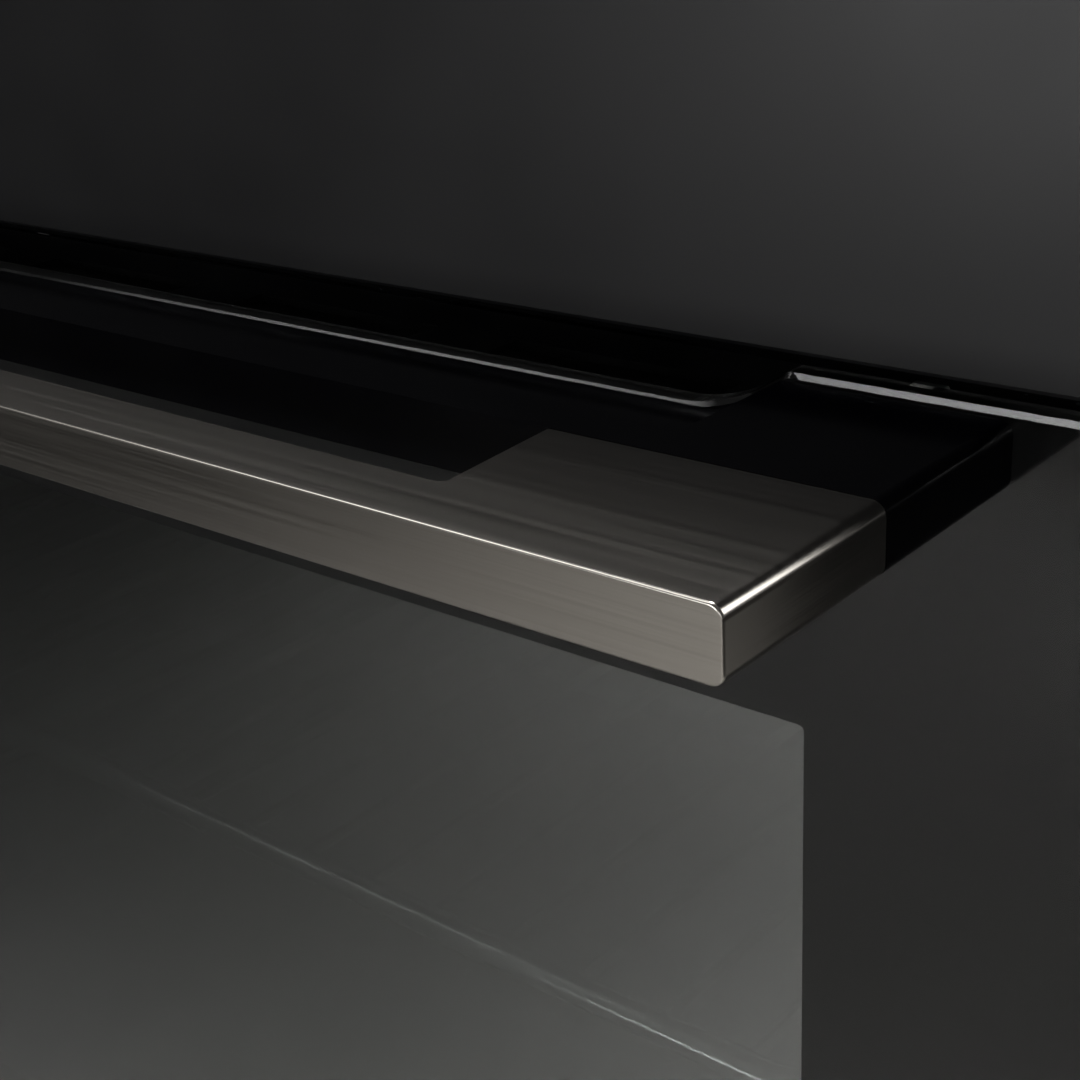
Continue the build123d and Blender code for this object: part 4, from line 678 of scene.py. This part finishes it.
# Copies of CAD pieces with merged corners and finely broken edges
def eased(node, width):
    """A CAD piece again with its loose facets joined and every sharp edge rounded by a few tenths."""
    mesh = frame["nodes"][node].data.copy()
    thing = bpy.data.objects.new(node + "_eased", mesh)
    bpy.context.scene.collection.objects.link(thing)
    only(thing)
    bpy.ops.mesh.customdata_custom_splitnormals_clear()
    choose(thing, "FACE", lambda part: True)
    bpy.ops.mesh.remove_doubles(threshold=MERGE)
    bpy.ops.mesh.dissolve_limited(angle_limit=math.radians(1.0))
    done()
    sharp = math.radians(40)
    changed(thing, "BEVEL", width=width * MM, segments=2, limit_method="ANGLE", angle_limit=sharp,
            use_clamp_overlap=True)
    smoothed(thing)
    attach(thing, body_of[node])
    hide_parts(node)


# Bent wire, straight rods and joined pieces
def bent_wire(name, corners, bend, radius, closed=False):
    """A round wire laid along corner points, with the same round bend at each corner."""
    corners = [Vector(place) for place in corners]
    bpy.ops.object.select_all(action="DESELECT")
    bpy.ops.mesh.primitive_plane_add(size=MM, location=corners[0])
    wire = bpy.context.object
    wire.name = name
    bpy.ops.object.transform_apply(location=True, rotation=True, scale=True)
    choose(wire, "VERT", lambda v: True)
    bpy.ops.mesh.merge(type="CENTER")
    for here, there in zip(corners, corners[1:]):
        bpy.ops.mesh.extrude_vertices_move(TRANSFORM_OT_translate={"value": there - here})
    bpy.ops.mesh.select_all(action="SELECT")
    bpy.ops.mesh.remove_doubles(threshold=TOUCHING)
    done()
    ends = [] if closed else [corners[0], corners[-1]]
    choose(wire, "VERT", lambda v: all((v.co - end).length > NEAR for end in ends))
    bpy.ops.mesh.bevel(offset=bend, segments=8, affect="VERTICES", clamp_overlap=False)
    done()
    only(wire)
    bpy.ops.object.convert(target="CURVE")
    wire = bpy.context.object
    wire.data.bevel_depth = radius
    wire.data.bevel_resolution = 3
    wire.data.use_fill_caps = True
    bpy.ops.object.convert(target="MESH")
    return bpy.context.object


def rod(name, start, end, radius):
    """A straight round bar whose end edges are lightly broken."""
    start, run = Vector(start), Vector(end) - Vector(start)
    turn = run.to_track_quat("Z", "Y").to_euler()
    bpy.ops.object.select_all(action="DESELECT")
    bpy.ops.mesh.primitive_cylinder_add(
        vertices=16, radius=radius, depth=run.length, location=start + run / 2, rotation=turn)
    bar = bpy.context.object
    bar.name = name
    bpy.ops.object.transform_apply(location=True, rotation=True, scale=True)
    around = lambda edge: abs((edge.verts[1].co - edge.verts[0].co).dot(run)) < 1e-6
    rounded(bar, around, 0.25 * radius, 2)
    return bar


def copied(piece, shift):
    """Another one of a piece with its own mesh, moved by a shift."""
    only(piece)
    bpy.ops.object.duplicate(linked=False)
    bpy.ops.transform.translate(value=shift)
    bpy.ops.object.transform_apply(location=True, rotation=True, scale=True)
    return bpy.context.object


def joined(name, pieces):
    """One object from several."""
    only(pieces[0])
    for piece in pieces[1:]:
        piece.select_set(True)
    bpy.ops.object.join()
    pieces[0].name = name
    return pieces[0]


# Side racks, shelf and grill element
RACK_LEVELS, LEVEL_PITCH, PAIR_GAP = 5, 62, 17
SHELF_BARS = 19


def side_rack(side, node):
    """One ladder of plated wire: a bent frame with five pairs of level bars that carry runners and tray."""
    x, low, high, near, far = side * 235 * MM, 107 * MM, 423 * MM, -242.5 * MM, 119.5 * MM
    corners = [(x, near, low), (x, far, low), (x, far, high), (x, near, high), (x, near, low)]
    pieces = [bent_wire(node + "_frame", corners, bend=12 * MM, radius=3 * MM, closed=True)]
    x, z = side * 229.5 * MM, 125 * MM
    first = rod(node + "_bar", (x, -247.5 * MM, z), (x, 124.5 * MM, z), radius=2.5 * MM)
    pieces.append(first)
    for level in range(RACK_LEVELS):
        for up in (0, PAIR_GAP):
            if level or up:
                pieces.append(copied(first, (0, 0, (LEVEL_PITCH * level + up) * MM)))
    rack = joined(node + "_wires", pieces)
    smoothed(rack, 40.0)
    finished(rack, "oven_body", plated_wire, node)


side_rack(-1, "rack_left")
side_rack(1, "rack_right")


def grid_shelf():
    """The shelf on its runners: a bent frame, nineteen thin bars from front to back and one across."""
    x, near, far, z = 209 * MM, -246.7 * MM, 114.7 * MM, 317.94 * MM
    corners = [(-x, near, z), (x, near, z), (x, far, z), (-x, far, z), (-x, near, z)]
    pieces = [bent_wire("shelf_frame", corners, bend=16 * MM, radius=3.5 * MM, closed=True)]
    pitch, radius = 2 * x / (SHELF_BARS + 1), 1.8 * MM
    first = rod("shelf_bar", (-9 * pitch, near + 1 * MM, z), (-9 * pitch, far - 1 * MM, z), radius)
    pieces.append(first)
    for index in range(1, SHELF_BARS):
        pieces.append(copied(first, (index * pitch, 0, 0)))
    y_cross, z_cross = -66 * MM, z - 3.6 * MM
    pieces.append(rod("shelf_cross", (-194 * MM, y_cross, z_cross), (194 * MM, y_cross, z_cross), radius))
    shelf = joined("wire_shelf_grid", pieces)
    smoothed(shelf, 40.0)
    finished(shelf, "shelf_carriage", plated_wire, "wire_shelf")


grid_shelf()


def grill_element():
    """The grill element: one round tube looped under the ceiling, its ends held by a plate on the rear wall."""
    half = [(60, 214.5), (60, 102.5), (168, 102.5), (168, -202.5), (56, -202.5), (56, -9.5)]
    corners = [(x * MM, y * MM, 423 * MM) for x, y in half]
    corners += [(-place[0], place[1], place[2]) for place in reversed(corners)]
    tube = bent_wire("grill_tube", corners, bend=20 * MM, radius=3.25 * MM)
    plate = block("grill_plate", (-75.25 * MM, 181 * MM, 407.75 * MM), (75.25 * MM, 182.5 * MM, 438.25 * MM))
    rounded(plate, lambda edge: along(edge, 1), 4 * MM, 4)
    rounded(plate, lambda edge: all(v.co.y < 181.1 * MM for v in edge.verts), 0.4 * MM, 2)
    element = joined("grill_element", [tube, plate])
    smoothed(element, 40.0)
    finished(element, "oven_body", element_steel, "grill_heater")


grill_element()


# Half widths and depths of the tray in millimetres: inside its rim's ring, at its mouth and at its floor
RING_Y, MOUTH_X, MOUTH_Y, FLOOR_X, FLOOR_Y = 174.7, 225, 169, 218.2, 162.2


def enamel_tray():
    """The pressed tray: a flat rim with round corners, sloping sides and a flat floor."""
    rim_x, near, far, top = 231.3 * MM, -252.5 * MM, 109.5 * MM, 191.19 * MM
    middle = (near + far) / 2
    bpy.ops.object.select_all(action="DESELECT")
    bpy.ops.mesh.primitive_plane_add(size=1, location=(0, middle, top))
    tray = bpy.context.object
    tray.name = "pressed_tray"
    tray.scale = (2 * rim_x, far - near, 1)
    bpy.ops.object.transform_apply(location=True, rotation=True, scale=True)
    choose(tray, "VERT", lambda v: True)
    bpy.ops.mesh.bevel(offset=22 * MM, segments=10, affect="VERTICES", clamp_overlap=False)
    done()
    choose(tray, "FACE", lambda part: True)
    bpy.ops.mesh.inset(thickness=6.3 * MM, depth=0)
    bpy.ops.transform.resize(value=(1, MOUTH_Y / RING_Y, 1), center_override=(0, middle, top))
    bpy.ops.mesh.extrude_region_move(TRANSFORM_OT_translate={"value": (0, 0, -32 * MM)})
    shrunk = (FLOOR_X / MOUTH_X, FLOOR_Y / MOUTH_Y, 1)
    bpy.ops.transform.resize(value=shrunk, center_override=(0, middle, top))
    done()
    rounded(tray, lambda edge: all(v.co.z < 160 * MM for v in edge.verts), 6 * MM, 6)
    wide, deep = (MOUTH_X + 0.1) * MM, (MOUTH_Y + 0.1) * MM
    lip = lambda v: v.co.z > top - NEAR and abs(v.co.x) < wide and abs(v.co.y - middle) < deep
    rounded(tray, lambda edge: all(lip(v) for v in edge.verts), 2.5 * MM, 4)
    changed(tray, "SOLIDIFY", thickness=1 * MM, offset=-1.0)
    changed(tray, "BEVEL", width=0.4 * MM, segments=2, limit_method="ANGLE", angle_limit=math.radians(60))
    smoothed(tray, 50.0)
    finished(tray, "tray", dark_enamel, "baking_tray")


enamel_tray()


# Screws of the back sheet: pan heads with a cross recess
SCREW_X, SCREW_LEVELS, SCREW_RING = 272, (30, 292, 554), 84


def back_screws():
    """Ten pan heads: three up each side of the back sheet and four round the motor cover."""
    y, middle, lowest = 247.5 * MM, 267.5 * MM, SCREW_LEVELS[0]
    x, z = SCREW_X * MM, lowest * MM
    head = rod("screw_head", (x, y, z), (x, y + 2.2 * MM, z), radius=3.2 * MM)
    choose(head, "EDGE", lambda edge: all(v.co.y > y + 2.1 * MM for v in edge.verts))
    bpy.ops.mesh.bevel(offset=0.7 * MM, segments=3, affect="EDGES")
    done()
    for wide, tall in ((1.9, 0.4), (0.4, 1.9)):
        low = ((SCREW_X - wide) * MM, y + 1.0 * MM, (lowest - tall) * MM)
        high = ((SCREW_X + wide) * MM, y + 3.0 * MM, (lowest + tall) * MM)
        cut(head, block("recess_tool", low, high))
    heads = [head]
    for x in (-SCREW_X, SCREW_X):
        for z in SCREW_LEVELS:
            if (x, z) != (SCREW_X, lowest):
                heads.append(copied(head, ((x - SCREW_X) * MM, 0, (z - lowest) * MM)))
    for x, z in ((SCREW_RING, 0), (-SCREW_RING, 0), (0, SCREW_RING), (0, -SCREW_RING)):
        heads.append(copied(head, ((x - SCREW_X) * MM, 1 * MM, middle - lowest * MM + z * MM)))
    screws = joined("back_pan_heads", heads)
    smoothed(screws, 30.0)
    finished(screws, "oven_body", plain_steel, "housing_screws")


back_screws()


# Sheet, glass and moulded pieces with their edges broken by some tenths of a millimetre
for node, width in {
    "side_panel_left": 0.3, "side_panel_right": 0.3, "top_cover": 0.3, "rear_cover": 0.3, "motor_cover": 0.4,
    "base_plate": 0.3, "channel_plate": 0.3, "bottom_trim": 0.3, "front_frame": 0.3, "cavity": 0.4,
    "fan_baffle": 0.3, "runner_fixed": 0.25, "runner_middle": 0.25, "runner_inner": 0.25, "hinge_arms": 0.3,
    "hinge_cases": 0.3, "door_side_left": 0.3, "door_side_right": 0.3, "door_top_rail": 0.3,
    "door_bottom_rail": 0.3, "glass_supports": 0.4, "door_glass_middle": 0.4, "door_glass_inner": 0.4,
    "door_gasket": 1.6, "terminal_box": 0.6, "cable_clamp": 0.4, "lamp_holder": 0.3, "lamp_glass": 0.6,
    "fan_impeller": 0.2, "ring_heater": 0.2, "oven_probe": 0.3,
}.items():
    eased(node, width)


# Floor
FLOOR_WIDTH, FLOOR_LIFT = 30.0, 0.42


def studio_floor():
    """A wide pale floor of matt paper with faint clouding, made brighter for the camera alone."""
    bpy.ops.object.select_all(action="DESELECT")
    bpy.ops.mesh.primitive_plane_add(size=FLOOR_WIDTH, location=(0, 0, 0))
    floor = bpy.context.object
    floor.name = "floor"
    paper = material("pale_studio_floor")
    where = add(paper, "ShaderNodeTexCoord").outputs["Object"]
    grain = add(paper, "ShaderNodeTexNoise", {"Vector": where, "Scale": 3.0, "Detail": 3.0}).outputs["Fac"]
    dark, light = tint("#c6c4c0"), tint("#cbc9c5")
    tone = add(paper, "ShaderNodeMix", {0: grain, 6: dark, 7: light}, data_type="RGBA").outputs[2]
    seen = add(paper, "ShaderNodeLightPath").outputs["Is Camera Ray"]
    lift = add(paper, "ShaderNodeMath", {0: seen, 1: FLOOR_LIFT}, operation="MULTIPLY").outputs[0]
    shader = add(paper, "ShaderNodeBsdfPrincipled", {
        "Base Color": tone,
        "Roughness": 0.8,
        "Specular IOR Level": 0.2,
        "Emission Color": tone,
        "Emission Strength": lift,
    })
    add(paper, "ShaderNodeOutputMaterial", {"Surface": shader.outputs["BSDF"]})
    floor.data.materials.append(paper)


studio_floor()
